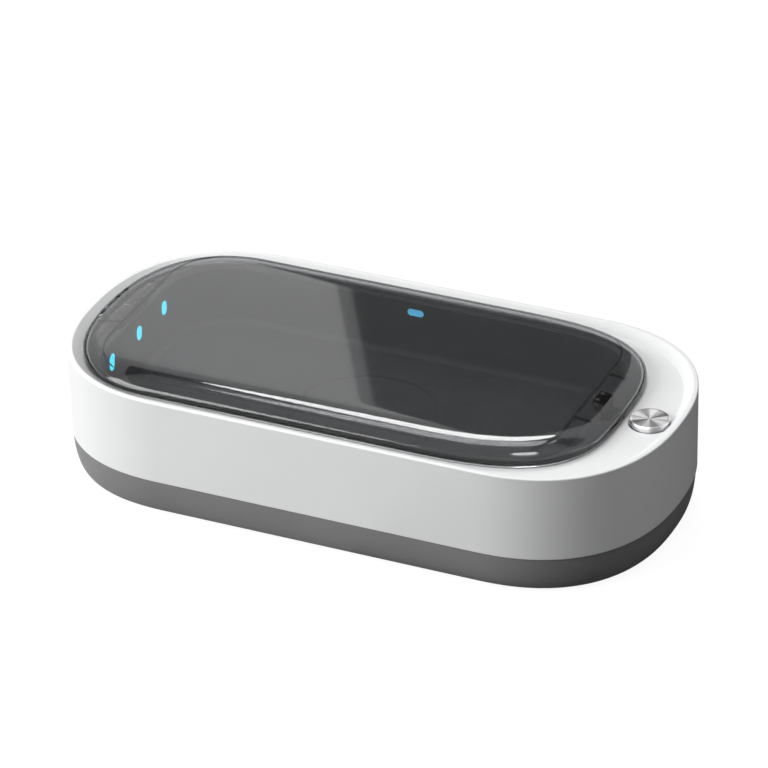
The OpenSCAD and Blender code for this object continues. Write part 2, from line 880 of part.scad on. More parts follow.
// Black seal inside the lid's side
module lid_seal() {
    color("black") difference() {
        plate(outline(LID, lid_t), lid_z - seal_down, lid_z + seal_up);
        plate(outline(LID, lid_t + seal_w), lid_z - 1, lid_z + seal_up + 1);
        block([lid_x0, -hinge_half - seal_end_gap, 0],
            [hinge_x + swing_r + seal_w, hinge_half + seal_end_gap, body_h + lid_side_h]);
    }
}

// Hook under the lid's right end, which drops through the tray's slot
module latch_hook() {
    x1 = hook_x + hook_t;
    color("dimgray") difference() {
        union() {
            block([hook_x - hook_plate_l, -hook_half, hook_plate_z],
                [x1, hook_half, hook_plate_z + hook_plate_t]);
            block([hook_x, -hook_half, hook_z], [x1, hook_half, hook_plate_z + eps]);
            profile_y(hook_half, [
                [x1 - eps, hook_z],
                [x1, hook_z],
                [x1 + hook_nose, hook_z + hook_nose_h - hook_nose_lip],
                [x1 + hook_nose, hook_z + hook_nose_h],
                [x1 - eps, hook_z + hook_nose_h]
            ]);
        }
        at_hook_screws() cylinder(r = small_hole_r, h = lid_top_z);
    }
}

module hook_screws() {
    color("silver") at_hook_screws() translate([0, 0, hook_plate_z])
        screw_up(small_screw_r, hook_plate_t + hook_bite, hook_head_r, small_head_h);
}

// Bracket with two gooseneck ears that carry the hinge pin
module hinge_bracket() {
    x0 = hinge_x + neck_run;
    color("black") difference() {
        union() {
            block([bracket_x0, -bracket_half, flange_z],
                [bracket_x1, bracket_half, flange_z + bracket_t]);
            bars_y(hinge_x, hinge_z, knuckle_r, ear_y0, ear_y1);
            both_sides() translate([0, (ear_y0 + ear_y1) / 2, 0]) profile_y((ear_y1 - ear_y0) / 2, [
                [hinge_x, hinge_z - neck_below],
                [x0, hinge_z - neck_below],
                [bracket_x0, flange_z],
                [bracket_x1, flange_z],
                [bracket_x1, flange_z + bracket_t],
                [x0, hinge_z + neck_above],
                [hinge_x, hinge_z + neck_above]
            ]);
        }
        bar_y(hinge_x, hinge_z, hinge_pin_r + pin_grip, 3 * hinge_half);
        at_hinge_screws() translate([0, 0, flange_z - eps])
            cylinder(r = small_hole_r, h = bracket_t + 2 * eps);
    }
}

module hinge_pin() {
    color("silver") bar_y(hinge_x, hinge_z, hinge_pin_r, 2 * hinge_half);
}

// Torsion spring round the pin: one leg lies on the bracket and the other reaches under the roof
module hinge_spring() {
    r = hinge_pin_r + hinge_coil_gap;
    length = 2 * (lug_y0 - hinge_spring_gap);
    leg_z = flange_z + bracket_t + hinge_wire_r + pin_clear - hinge_z;
    leg_x = bracket_x0 + bracket_t - hinge_x;
    bracket_leg = [[leg_x, leg_z, 0], [leg_x - bracket_leg_l, leg_z, 0], [r + hinge_wire_r, leg_z, 0]];
    roof_leg = [[r, hinge_wire_r - r, length], [roof_leg_x, roof_leg_up, length]];
    color("silver") translate([hinge_x, length / 2, hinge_z]) rotate([90, 0, 0])
        wire(concat(bracket_leg, helix(r, length, hinge_turns, 12), roof_leg), hinge_wire_r, 6);
}

module hinge_screws() {
    color("silver") at_hinge_screws() translate([0, 0, flange_z + bracket_t]) mirror([0, 0, 1])
        screw_up(small_screw_r, bracket_t + flange_t - pin_clear, small_head_r, small_head_h);
}

// Spun-metal cap of the button: chamfered disc, skirt and a socket for the plunger
module release_button() {
    color("silver") translate([button_x, 0, 0]) difference() {
        rotate_extrude() polygon([
            [0, skirt_z],
            [button_r, skirt_z],
            [button_r, button_top - cap_chamfer],
            [button_r - cap_chamfer, button_top],
            [0, button_top]
        ]);
        difference() {
            translate([0, 0, skirt_z - eps])
                cylinder(r = button_r - cap_wall, h = cap_roof_z - skirt_z + eps);
            translate([0, 0, skirt_z - 1]) cylinder(r = stem_r, h = cap_roof_z);
        }
        translate([0, 0, skirt_z - eps]) cylinder(r = stem_pin_r + pin_grip, h = stem_pin_l + tip_gap + eps);
    }
}

// Stem with the wedge that drives the latch
module button_plunger() {
    color("ivory") union() {
        translate([button_x, 0, wedge_top_z - eps]) cylinder(r = stem_r, h = skirt_z - wedge_top_z + eps);
        translate([button_x, 0, skirt_z - eps]) cylinder(r = stem_pin_r, h = stem_pin_l + eps);
        profile_y(wedge_half, [
            [wedge_x0, wedge_top_z],
            [wedge_x1, wedge_top_z],
            [wedge_x1, wedge_z + wedge_run],
            [wedge_x1 - wedge_run, wedge_z],
            [wedge_x0, wedge_z]
        ]);
    }
}

module button_spring() {
    z0 = well_top + spring_gap;
    z1 = cap_roof_z - spring_gap;
    color("silver") translate([button_x, 0, z0])
        wire(helix(button_spring_r, z1 - z0, 4, 16), button_wire_r, 6);
}

// Sliding catch: tongue over the hook's nose, window round the wedge, ramp and spring tab
module latch_slider() {
    z1 = latch_z + latch_t;
    ramp = wedge_x1 - wedge_run - wedge_z + ramp_gap;
    color("gainsboro") union() {
        block([latch_tip_x, -tongue_half, latch_z], [tab_x1, tongue_half, z1]);
        block([tab_x0, -latch_half, latch_z], [window_x0, latch_half, z1]);
        both_sides() block([tab_x0, window_half, latch_z], [latch_x1, latch_half, z1]);
        profile_y(ramp_half, [
            [ramp + latch_z, latch_z],
            [ramp + z1, z1],
            [latch_x1, z1],
            [latch_x1, latch_z]
        ]);
        block([tab_x0, -tab_half, tab_z], [tab_x1, tab_half, latch_z + eps]);
    }
}

module latch_spring() {
    color("silver") translate([tab_x1 + latch_wire_r, 0, latch_spring_z]) rotate([0, 90, 0])
        wire(helix(latch_spring_r, latch_spring_l - 2 * latch_wire_r, 6, 12), latch_wire_r, 6);
}

// Channel that carries the slider, with ears screwed up under the deck
module latch_guide() {
    wall_y0 = guide_half;
    wall_y1 = guide_half + guide_wall;
    runner_y = latch_half - runner_in;
    color("dimgray") difference() {
        union() {
            block([guide_x0, -wall_y1, guide_z], [guide_x1, wall_y1, guide_z + guide_t]);
            both_sides() {
                block([guide_x0, wall_y0, guide_z], [guide_x1, wall_y1, guide_ear_z + guide_ear_t]);
                block([guide_x0, runner_y - runner_w / 2, guide_z],
                    [guide_x1, runner_y + runner_w / 2, latch_z - runner_gap]);
                block([guide_ear_x - guide_ear_w, wall_y1 - eps, guide_ear_z],
                    [guide_ear_x + guide_ear_w, guide_ear_y + guide_ear_w, guide_ear_z + guide_ear_t]);
            }
            block([guide_post_x, -guide_post_half, tab_z],
                [guide_post_x + guide_post_t, guide_post_half, guide_z + eps]);
        }
        block([tab_x0 - tip_gap, -tab_half - loose_fit, guide_z - 1],
            [tab_x1 + button_travel + tip_gap, tab_half + loose_fit, latch_z]);
        at_guide_screws() translate([0, 0, guide_ear_z - eps])
            cylinder(r = small_hole_r, h = guide_ear_t + 2 * eps);
    }
}

module guide_screws() {
    color("silver") at_guide_screws() translate([0, 0, guide_ear_z])
        screw_up(small_screw_r, guide_ear_t + guide_bite, small_head_r, small_head_h);
}

// Switch on the tray's wall, with its plunger just under the hook
module interlock_switch() {
    color("black") {
        block([wall_x1, -switch_half, switch_z1 - switch_h],
            [wall_x1 + switch_d, switch_half, switch_z1]);
        translate([hook_x + hook_t / 2, 0, switch_z1 - eps])
            cylinder(r = switch_pin_r, h = switch_pin_h + eps);
    }
}

module led_board(x) {
    color("green") block([x, -led_board_l / 2, lamp_z - led_board_h / 2],
        [x + led_board_t, led_board_l / 2, lamp_z + led_board_h / 2]);
}

module side_led_board(y) {
    color("green") block([chamber_x - side_board_l / 2, y, side_board_z0],
        [chamber_x + side_board_l / 2, y + led_board_t, side_board_z1]);
}

module led_board_left() led_board(wall_x0 - led_board_t);
module led_board_right() led_board(wall_x1);
module led_board_front() side_led_board(-wall_y - led_board_t);
module led_board_back() side_led_board(wall_y);

module led_windows_left() color("cyan") end_lamps(wall_x0, tray_wall + window_in, 0);
module led_windows_right() color("cyan") end_lamps(chamber_x1 - window_in, tray_wall + window_in, 0);
module led_window_back() color("cyan") side_lamp(chamber_half - window_in, tray_wall + window_in, 0);
module led_window_front() mirror([0, 1, 0]) led_window_back();

// Flat leads down the outside of the tray and in to the control board
module led_ribbons() {
    end_z = lamp_z - led_board_h / 2;
    x = chamber_x - ribbon_w / 2;
    back_x = x + back_ribbon_x;
    right_y1 = right_ribbon_y + ribbon_w;
    color("orange") {
        block([wall_x0 - ribbon_t, -ribbon_w / 2, ribbon_z], [wall_x0, ribbon_w / 2, end_z]);
        block([wall_x0 - ribbon_t, -ribbon_w / 2, ribbon_z],
            [left_plug_x + plug_l, ribbon_w / 2, ribbon_top]);
        block([wall_x1, right_ribbon_y, ribbon_z], [wall_x1 + ribbon_t, right_y1, end_z]);
        block([right_plug_x, right_ribbon_y, ribbon_z], [wall_x1 + ribbon_t, right_y1, ribbon_top]);
        block([back_x, wall_y, ribbon_z], [back_x + ribbon_w, wall_y + ribbon_t, side_board_z0]);
        block([back_x, back_plug_y, ribbon_z], [back_x + ribbon_w, wall_y + ribbon_t, ribbon_top]);
        block([x, -wall_y - ribbon_t, ribbon_z], [x + ribbon_w, -wall_y, side_board_z0]);
        block([x, -wall_y - ribbon_t, ribbon_z], [x + ribbon_w, front_plug_y + plug_l, ribbon_top]);
    }
}

// Flat winding, with grooves between its turns
module charging_coil() {
    pitch = (coil_r - coil_inner_r) / coil_turns;
    color("peru") translate([chamber_x, 0, coil_z]) rotate_extrude() difference() {
        translate([coil_inner_r, 0]) square([coil_r - coil_inner_r, coil_h]);
        for (i = [1:coil_turns - 1])
            translate([coil_inner_r + pitch * i - coil_groove / 2, coil_h - 2 * coil_groove])
                square([coil_groove, coil_h]);
    }
}

module coil_ferrite() {
    color("black") block([chamber_x - ferrite_w / 2, -ferrite_w / 2, ferrite_z],
        [chamber_x + ferrite_w / 2, ferrite_w / 2, coil_z]);
}

// Frame that holds the ferrite and coil up against the tray
module coil_carrier() {
    seat_half = ferrite_w / 2 + coil_gap;
    ear_end = coil_screw_x + carrier_ear;
    color("ivory") difference() {
        union() {
            block([chamber_x - carrier_w / 2, -carrier_w / 2, carrier_z],
                [chamber_x + carrier_w / 2, carrier_w / 2, tray_z]);
            both_sides() block([chamber_x - ear_end, coil_screw_y - carrier_ear, carrier_z],
                [chamber_x + ear_end, coil_screw_y + carrier_ear, ferrite_z]);
        }
        block([chamber_x - seat_half, -seat_half, ferrite_z], [chamber_x + seat_half, seat_half, tray_z + 1]);
        translate([chamber_x, 0, carrier_z - 1]) cylinder(r = coil_inner_r, h = carrier_t + 2);
        at_coil_screws() translate([0, 0, carrier_z - eps])
            cylinder(r = small_hole_r, h = carrier_t + 2 * eps);
    }
}

module coil_screws() {
    color("silver") at_coil_screws() translate([0, 0, carrier_z])
        screw_up(small_screw_r, carrier_t + coil_bite, small_head_r, small_head_h);
}

module control_board() {
    color("green") difference() {
        union() {
            block([-board_half, board_y0, board_z], [board_half, board_y1, board_top]);
            block([usb_x - inlet_half, 0, board_z], [usb_x + inlet_half, inlet_y1, board_top]);
        }
        at_board_screws() translate([0, 0, board_z - eps])
            cylinder(r = small_hole_r, h = board_t + 2 * eps);
    }
}

// Chips, inductors, capacitors and the four ribbon connectors
module board_components() {
    x = chamber_x - ribbon_w / 2 - plug_in;
    plug_w = ribbon_w + 2 * plug_in;
    color("dimgray") {
        for (c = chips) translate([c[0], c[1], board_top]) cube([c[2], c[3], c[4]]);
        for (c = capacitor_at) translate([c[0], c[1], board_top]) cylinder(r = capacitor_r, h = capacitor_h);
        translate([left_plug_x, -plug_w / 2, board_top]) cube([plug_l, plug_w, plug_h]);
        translate([right_plug_x, right_ribbon_y - plug_in, board_top]) cube([plug_l, plug_w, plug_h]);
        translate([x + back_ribbon_x, back_plug_y, board_top]) cube([plug_w, plug_l, plug_h]);
        translate([x, front_plug_y, board_top]) cube([plug_w, plug_l, plug_h]);
    }
}

module board_screws() {
    color("silver") at_board_screws() translate([0, 0, board_top]) mirror([0, 0, 1])
        screw_up(small_screw_r, board_t + board_bite, small_head_r, small_head_h);
}

// Receptacle of the power inlet, open to the back
module usb_socket() {
    color("silver") translate([usb_x, 0, usb_z]) {
        difference() {
            translate([0, usb_y1, 0]) rotate([90, 0, 0]) linear_extrude(usb_l)
                rounded(-usb_w / 2, usb_w / 2, usb_h / 2, usb_corner_r);
            translate([0, usb_y1 + eps, 0]) rotate([90, 0, 0]) linear_extrude(usb_l - 1)
                rounded(usb_t - usb_w / 2, usb_w / 2 - usb_t, usb_h / 2 - usb_t, usb_corner_r - usb_t);
        }
        block([-contact_half, usb_y1 - usb_l + usb_t, -contact_t / 2],
            [contact_half, usb_y1 - 2 * usb_t, contact_t / 2]);
    }
}

module rubber_feet() {
    foot_top = foot_h + foot_seat;
    color("black") at_feet() rotate_extrude() polygon([
        [0, 0],
        [foot_r - foot_chamfer, 0],
        [foot_r, foot_chamfer],
        [foot_r, foot_top],
        [0, foot_top]
    ]);
}

module case_screws() {
    color("silver") at_case_screws() translate([0, 0, case_head_z])
        screw_up(case_screw_r, case_screw_top - case_head_z, case_head_r, case_head_h);
}

upper_shell();
lower_case();
chamber_tray();
phone_mat();
lid_cover();
lid_seal();
latch_hook();
hook_screws();
hinge_bracket();
hinge_pin();
hinge_spring();
hinge_screws();
release_button();
button_plunger();
button_spring();
latch_slider();
latch_spring();
latch_guide();
guide_screws();
interlock_switch();
led_board_left();
led_board_right();
led_board_front();
led_board_back();
led_windows_left();
led_windows_right();
led_window_front();
led_window_back();
led_ribbons();
charging_coil();
coil_ferrite();
coil_carrier();
coil_screws();
control_board();
board_components();
board_screws();
usb_socket();
rubber_feet();
case_screws();
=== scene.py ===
from math import acos, atan2, cos, hypot, pi, radians, sin, tan

import bmesh
import bpy
from mathutils import Matrix, Vector

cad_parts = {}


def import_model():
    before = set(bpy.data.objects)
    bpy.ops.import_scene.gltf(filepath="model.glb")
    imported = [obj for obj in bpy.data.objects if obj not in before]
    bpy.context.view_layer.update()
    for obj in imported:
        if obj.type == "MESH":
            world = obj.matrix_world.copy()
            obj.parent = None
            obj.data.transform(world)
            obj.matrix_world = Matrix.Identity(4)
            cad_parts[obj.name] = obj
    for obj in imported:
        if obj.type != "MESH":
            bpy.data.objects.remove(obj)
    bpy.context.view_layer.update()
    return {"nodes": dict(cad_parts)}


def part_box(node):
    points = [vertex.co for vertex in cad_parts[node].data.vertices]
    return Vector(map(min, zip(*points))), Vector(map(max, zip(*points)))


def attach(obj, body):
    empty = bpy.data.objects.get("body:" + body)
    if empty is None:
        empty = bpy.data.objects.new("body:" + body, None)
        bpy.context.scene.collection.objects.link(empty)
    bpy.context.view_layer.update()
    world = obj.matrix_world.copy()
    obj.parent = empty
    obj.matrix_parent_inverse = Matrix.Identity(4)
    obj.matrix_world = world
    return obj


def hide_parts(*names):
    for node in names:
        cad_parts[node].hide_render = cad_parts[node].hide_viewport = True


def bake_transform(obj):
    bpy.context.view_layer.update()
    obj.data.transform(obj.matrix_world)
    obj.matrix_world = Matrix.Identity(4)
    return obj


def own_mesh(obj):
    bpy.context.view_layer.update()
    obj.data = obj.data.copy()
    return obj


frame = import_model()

MM = 0.001

# How far joined solids reach into each other, and how far a cutter passes the face that it opens
overlap = 0.2
past = 1.0

# Body, whose ends are superellipses of this length and exponent
shell_low, shell_high = [[value / MM for value in corner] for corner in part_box("upper_shell")]
body_half = shell_high[0]
side_half = shell_high[1]
rim_z = shell_high[2]
seam_z = shell_low[2]
body_end_l = 52.6
body_end_n = 2.35
shell_wall = 2.4
rim_w = 1.7
slope_w = 3.3
deck_z = rim_z - 2.7
seat_z = deck_z - 2.0
ledge_z = seat_z - 1.4
rim_to_deck = rim_w + slope_w
seam_step = 0.4
base_wall = 2.2
base_floor_t = 2.2
base_curve = 3.4
foot_h = 1.0
foot_seat = 0.6
inlet_z = 9.8

# Lid, with the length and exponent of its left and right ends
lid_x0 = -body_half + rim_to_deck + 0.4
lid_x1 = body_half - 19.8
lid_half_w = side_half - rim_to_deck - 1.4
lid_left = (40.4, 2.3)
lid_right = (62.4, 3.1)
lid_z = deck_z + 0.3
shoulder_z = lid_z + 1.4
shoulder_h = 5.6
shoulder_w = 14.0
lid_t = 1.8
lid_top_z = shoulder_z + shoulder_h
roof_z = lid_top_z - lid_t
roof_crown = 0.2
opening_in = 1.2
rib_h = 1.2
rib_t = 0.6
smoke_per_metre = 340.0

# Chamber
chamber_x0 = lid_x0 + 12.3
chamber_x1 = lid_x1 - 11.2
chamber_x = (chamber_x0 + chamber_x1) / 2
chamber_half = lid_half_w - 4.6
chamber_r = 24.0
floor_z = 20.2
tray_wall = 1.6
tray_gap = 0.2
tray_z = floor_z - 1.8
flange_z = seat_z + 1.6
wall_x0 = chamber_x0 - tray_wall
wall_x1 = chamber_x1 + tray_wall
wall_y = chamber_half + tray_wall
mat_t = 1.4
mat_in = 3.0
lamp_pitch = 19.5
lamp_z = 35.0
side_lamp_z = 37.8

# Hinge
hinge_in = 3.2
hinge_up = 1.6
hinge_x = lid_x0 + hinge_in
hinge_z = lid_z + hinge_up
pin_r = 0.9
knuckle_r = 1.8
swing_r = hypot(hinge_in, hinge_up) + 0.42
trough_half = 24.0

# Button and latch
button_x = body_half - 11.5
button_r = 6.95
button_top = deck_z + 1.76
well_floor_z = seat_z - 4.3
well_top = well_floor_z + 1.2
well_r = button_r + 0.2
stem_r = 2.4
skirt_z = well_top + 2.4
cap_roof_z = button_top - 1.66
hook_x = wall_x1 + 1.4
hook_half = 3.6
hook_t = 1.6
hook_plate_z = lid_z + 1.6
latch_spring_z = 26.9

# Places of the fasteners and feet on one side of the middle, and of the board's screws on both
case_screw_at = [(13.1 - body_half, 23.0), (body_half - 22.0, 28.0)]
guide_screw_at = [(button_x - 4.9, 12.5)]
board_screw_at = [(-31.0, -21.0), (31.0, -21.0), (-31.0, 41.0), (31.0, 41.0)]
coil_screw_at = [(chamber_x - 30.0, 20.0), (chamber_x + 30.0, 20.0)]
hinge_screw_at = [(hinge_x + 5.8, 5.6)]
hook_screw_at = [(hook_x - 1.3, 2.2)]
foot_at = [(34.0 - body_half, 30.0), (body_half - 34.0, 30.0)]
foot_r = 7.0
screw_hole_r = 0.85

# Posts and the holes in them: lowest point, highest point and radius
post_foot_z = foot_h + base_floor_t / 2
shell_post = (17.9, seat_z + overlap, 2.7)
shell_post_hole = (17.0, 24.4, 1.25)
guide_post = (35.0, seat_z + overlap, 2.6)
guide_post_hole = (34.0, 39.0, screw_hole_r)
base_post = (post_foot_z, 17.9, 3.3)
board_post = (post_foot_z, 6.6, 2.5)
board_post_hole = (3.2, 7.0, screw_hole_r)
coil_post = (15.8, tray_z + overlap, 2.4)
coil_post_hole = (15.0, 19.0, screw_hole_r)
hinge_screw_hole = (seat_z - overlap, flange_z + overlap, screw_hole_r)
hook_screw_hole = (hook_plate_z, hook_plate_z + 3.6, screw_hole_r)

# The photograph's view, in degrees and millimetres
view_azimuth = 24.68
view_elevation = 29.92
view_roll = -1.19
view_target = (-6.65, 17.28, 25.0)


def with_mirror(places):
    """Places and their mirror images across the middle of the body."""
    return [(x, side * y) for x, y in places for side in (-1, 1)]


# Outlines and profiles

def end_points(a, b, n, count):
    """Evenly spaced points and normals on one quarter of a superellipse, from its tip to its side."""
    def place(t):
        return a * cos(t) ** (2 / n), b * sin(t) ** (2 / n)

    dense = 900
    turns = [pi / 2 * (i / dense) ** 1.5 for i in range(dense)] + [pi / 2]
    run = [0.0]
    for before, after in zip(turns, turns[1:]):
        (x0, y0), (x1, y1) = place(before), place(min(after, pi / 2))
        run.append(run[-1] + hypot(x1 - x0, y1 - y0))
    found = []
    i = 0
    for k in range(count + 1):
        wanted = run[-1] * k / count
        while i < dense - 1 and run[i + 1] < wanted:
            i += 1
        share = (wanted - run[i]) / (run[i + 1] - run[i])
        t = turns[i] + share * (turns[i + 1] - turns[i])
        c, s = max(cos(t), 0.0), max(sin(t), 0.0)
        nx, ny = c ** (2 - 2 / n) / a, s ** (2 - 2 / n) / b
        size = hypot(nx, ny)
        found.append((a * c ** (2 / n), b * s ** (2 / n), nx / size, ny / size))
    return found


def oval(x0, x1, half, left, right, count=44, straight=16):
    """Points and normals of an outline with superellipse ends, anticlockwise from the right tip."""
    lx, rx = x0 + left[0], x1 - right[0]
    left_end = end_points(left[0], half, left[1], count)
    right_end = end_points(right[0], half, right[1], count)
    top = [(rx + x, y, nx, ny) for x, y, nx, ny in right_end]
    top += [(rx + (lx - rx) * i / straight, half, 0.0, 1.0) for i in range(1, straight)]
    top += [(lx - x, y, -nx, ny) for x, y, nx, ny in reversed(left_end)]
    bottom = [(x, -y, nx, -ny) for x, y, nx, ny in reversed(top[1:-1])]
    return top + bottom


def round_rect(x0, x1, half, r, turn=12):
    """Points and normals of a rounded rectangle, anticlockwise from its right side."""
    found = []
    for cx, cy, start in [(x1 - r, half - r, 0), (x0 + r, half - r, 90),
                          (x0 + r, r - half, 180), (x1 - r, r - half, 270)]:
        for k in range(turn + 1):
            a = radians(start + 90 * k / turn)
            found.append((cx + r * cos(a), cy + r * sin(a), cos(a), sin(a)))
    return found


def pill(w, h, turn=10):
    """Points and normals of a slot shape with round ends, centred on the origin."""
    almost_round = 0.999
    return round_rect(-w / 2, w / 2, h / 2, min(w, h) / 2 * almost_round, turn)


def circle(x, y, z, r, turns):
    """Points round an upright axis."""
    return [(x + r * cos(a), y + r * sin(a), z) for a in full_turn(turns)]


def full_turn(count):
    """Evenly spaced angles over a full turn."""
    return [2 * pi * i / count for i in range(count)]


def quarter(step):
    """Angles over a quarter turn, a step of whole degrees apart."""
    return [radians(a) for a in range(0, 91, step)]


def inset(outline, d):
    """The points of an outline, moved inwards by d."""
    return [(x - nx * d, y - ny * d) for x, y, nx, ny in outline]


def filleted(corners, turn=15):
    """A profile through corners (distance, height, radius), with an arc at each radius above 0."""
    found = [corners[0][:2]]
    for before, here, after in zip(corners, corners[1:], corners[2:]):
        p = Vector(here[:2])
        a = Vector(before[:2]) - p
        b = Vector(after[:2]) - p
        if not here[2]:
            found.append(tuple(p))
            continue
        a.normalize()
        b.normalize()
        bend = acos(max(-1.0, min(1.0, a.dot(b))))
        reach = here[2] / tan(bend / 2)
        centre = p + (a + b).normalized() * (here[2] / sin(bend / 2))
        start, end = p + a * reach - centre, p + b * reach - centre
        sweep = atan2(start.x * end.y - start.y * end.x, start.dot(end))
        count = max(2, round(abs(sweep) / radians(turn)))
        for k in range(count + 1):
            angle = sweep * k / count
            found.append((centre.x + start.x * cos(angle) - start.y * sin(angle),
                          centre.y + start.x * sin(angle) + start.y * cos(angle)))
    found.append(corners[-1][:2])
    return found


# Meshes

def mesh_object(name, points, faces):
    mesh = bpy.data.meshes.new(name)
    mesh.from_pydata([(x * MM, y * MM, z * MM) for x, y, z in points], [], faces)
    mesh.validate()
    found = bpy.data.objects.new(name, mesh)
    bpy.context.scene.collection.objects.link(found)
    return found


def face_out(obj):
    """Turns the faces outwards if the mesh's signed volume is negative."""
    mesh = obj.data
    mesh.calc_loop_triangles()
    volume = 0.0
    for tri in mesh.loop_triangles:
        a, b, c = (mesh.vertices[i].co for i in tri.vertices)
        volume += a.dot(b.cross(c))
    if volume < 0:
        mesh.flip_normals()
    return obj


def merge_middle(obj):
    """Joins the points of rings that have shrunk to a line, and drops the faces between them."""
    near, no_area = 0.002 * MM, 1e-14
    work = bmesh.new()
    work.from_mesh(obj.data)
    bmesh.ops.remove_doubles(work, verts=work.verts, dist=near)
    flat = [face for face in work.faces if face.calc_area() < no_area]
    bmesh.ops.delete(work, geom=flat, context="FACES_ONLY")
    work.to_mesh(obj.data)
    work.free()
    return obj


def skin(name, rings, closed=False):
    """A solid skinned through rings of points, capped at its two ends or joined end to end."""
    n = len(rings[0])
    points = [p for ring in rings for p in ring]
    faces = []
    last = len(rings) if closed else len(rings) - 1
    for k in range(last):
        a, b = k * n, (k + 1) % len(rings) * n
        for i in range(n):
            j = (i + 1) % n
            faces.append((a + i, a + j, b + j, b + i))
    if not closed:
        faces.append(tuple(range(n - 1, -1, -1)))
        faces.append(tuple(range(len(points) - n, len(points))))
    return face_out(mesh_object(name, points, faces))


def level_rings(outline, profile):
    """Rings that are an outline moved inwards by d, at height z, for each (d, z)."""
    return [[(x, y, z) for x, y in inset(outline, d)] for d, z in profile]


def ring_solid(name, outline, profile, closed=False):
    """A solid skinned through level rings of one outline."""
    return skin(name, level_rings(outline, profile), closed)


def lathe(name, profile, x, y, turns):
    """A solid turned about Z through (radius, height) pairs, the first and last near radius 0."""
    least_r = 0.02
    return skin(name, [circle(x, y, z, max(r, least_r), turns) for r, z in profile])


def cylinder(x, y, z0, z1, r, turns=40):
    return lathe("cylinder", [(r, z0), (r, z1)], x, y, turns)


def upright_bars(places, span):
    """Round bars at each place, for a lowest point, a highest point and a radius."""
    return [cylinder(x, y, *span) for x, y in places]


def block(low, high):
    (x0, y0, z0), (x1, y1, z1) = low, high
    ring = [(x1, y0), (x1, y1), (x0, y1), (x0, y0)]
    return skin("block", [[(x, y, z) for x, y in ring] for z in (z0, z1)])


def bar_y(x, z, r, y0, y1, turns=48):
    """A round bar along Y."""
    return skin("bar", [[(x + r * cos(a), y, z + r * sin(a)) for a in full_turn(turns)] for y in (y0, y1)])


def along_x(outline, y, z, x0, x1):
    """An outline in Y and Z, stretched along X."""
    return skin("bar", [[(x, y + p, z + q) for p, q in inset(outline, 0)] for x in (x0, x1)])


def along_y(outline, x, z, y0, y1):
    """An outline in X and Z, stretched along Y."""
    return skin("bar", [[(x + p, y, z + q) for p, q in inset(outline, 0)] for y in (y0, y1)])


def tube(name, path, r, sides=12):
    """A round wire along a path of points, with closed ends."""
    places = [Vector(p) for p in path]
    rings = []
    out = None
    for i, p in enumerate(places):
        ahead = (places[min(i + 1, len(places) - 1)] - places[max(i - 1, 0)]).normalized()
        if out is None:
            out = ahead.orthogonal().normalized()
        out = (out - ahead * out.dot(ahead)).normalized()
        side = ahead.cross(out)
        rings.append([tuple(p + r * (cos(a) * out + sin(a) * side)) for a in full_turn(sides)])
    return skin(name, rings)


def combine(obj, others, operation):
    """Adds, cuts or keeps what is common with other solids, and removes these."""
    for other in others:
        step = obj.modifiers.new("step", "BOOLEAN")
        step.operation = operation
        step.solver = "MANIFOLD"
        step.object = other
        bpy.context.view_layer.update()
        depsgraph = bpy.context.evaluated_depsgraph_get()
        mesh = bpy.data.meshes.new_from_object(obj.evaluated_get(depsgraph))
        obj.modifiers.clear()
        old = obj.data
        obj.data = mesh
        mesh.name = obj.name
        bpy.data.meshes.remove(old)
        bpy.data.meshes.remove(other.data)
    return obj


def add(obj, *others):
    combine(obj, others, "UNION")


def cut(obj, *others):
    combine(obj, others, "DIFFERENCE")


def shade(obj, angle=28):
    """Smooth shading that keeps edges sharper than the angle, with flat faces left flat."""
    mesh = obj.data
    mesh.polygons.foreach_set("use_smooth", [True] * len(mesh.polygons))
    mesh.set_sharp_from_angle(angle=radians(angle))
    weighted = obj.modifiers.new("even_shading", "WEIGHTED_NORMAL")
    weighted.keep_sharp = True
    weighted.weight = 90
    return obj


def finish_piece(obj, body, slot, material, *nodes):
    """Gives a piece its finish, its body and the CAD nodes that it stands for."""
    obj.data.materials.clear()
    obj.data.materials.append(material)
    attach(obj, body)
    if nodes:
        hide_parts(*nodes)


# Outlines that the pieces share
BODY = oval(-body_half, body_half, side_half, (body_end_l, body_end_n), (body_end_l, body_end_n))
LID = oval(lid_x0, lid_x1, lid_half_w, lid_left, lid_right)
CHAMBER = round_rect(chamber_x0, chamber_x1, chamber_half, chamber_r)
# How far in from an outline a level top or bottom starts to be one face
CAP_IN = 8.0


# White shell

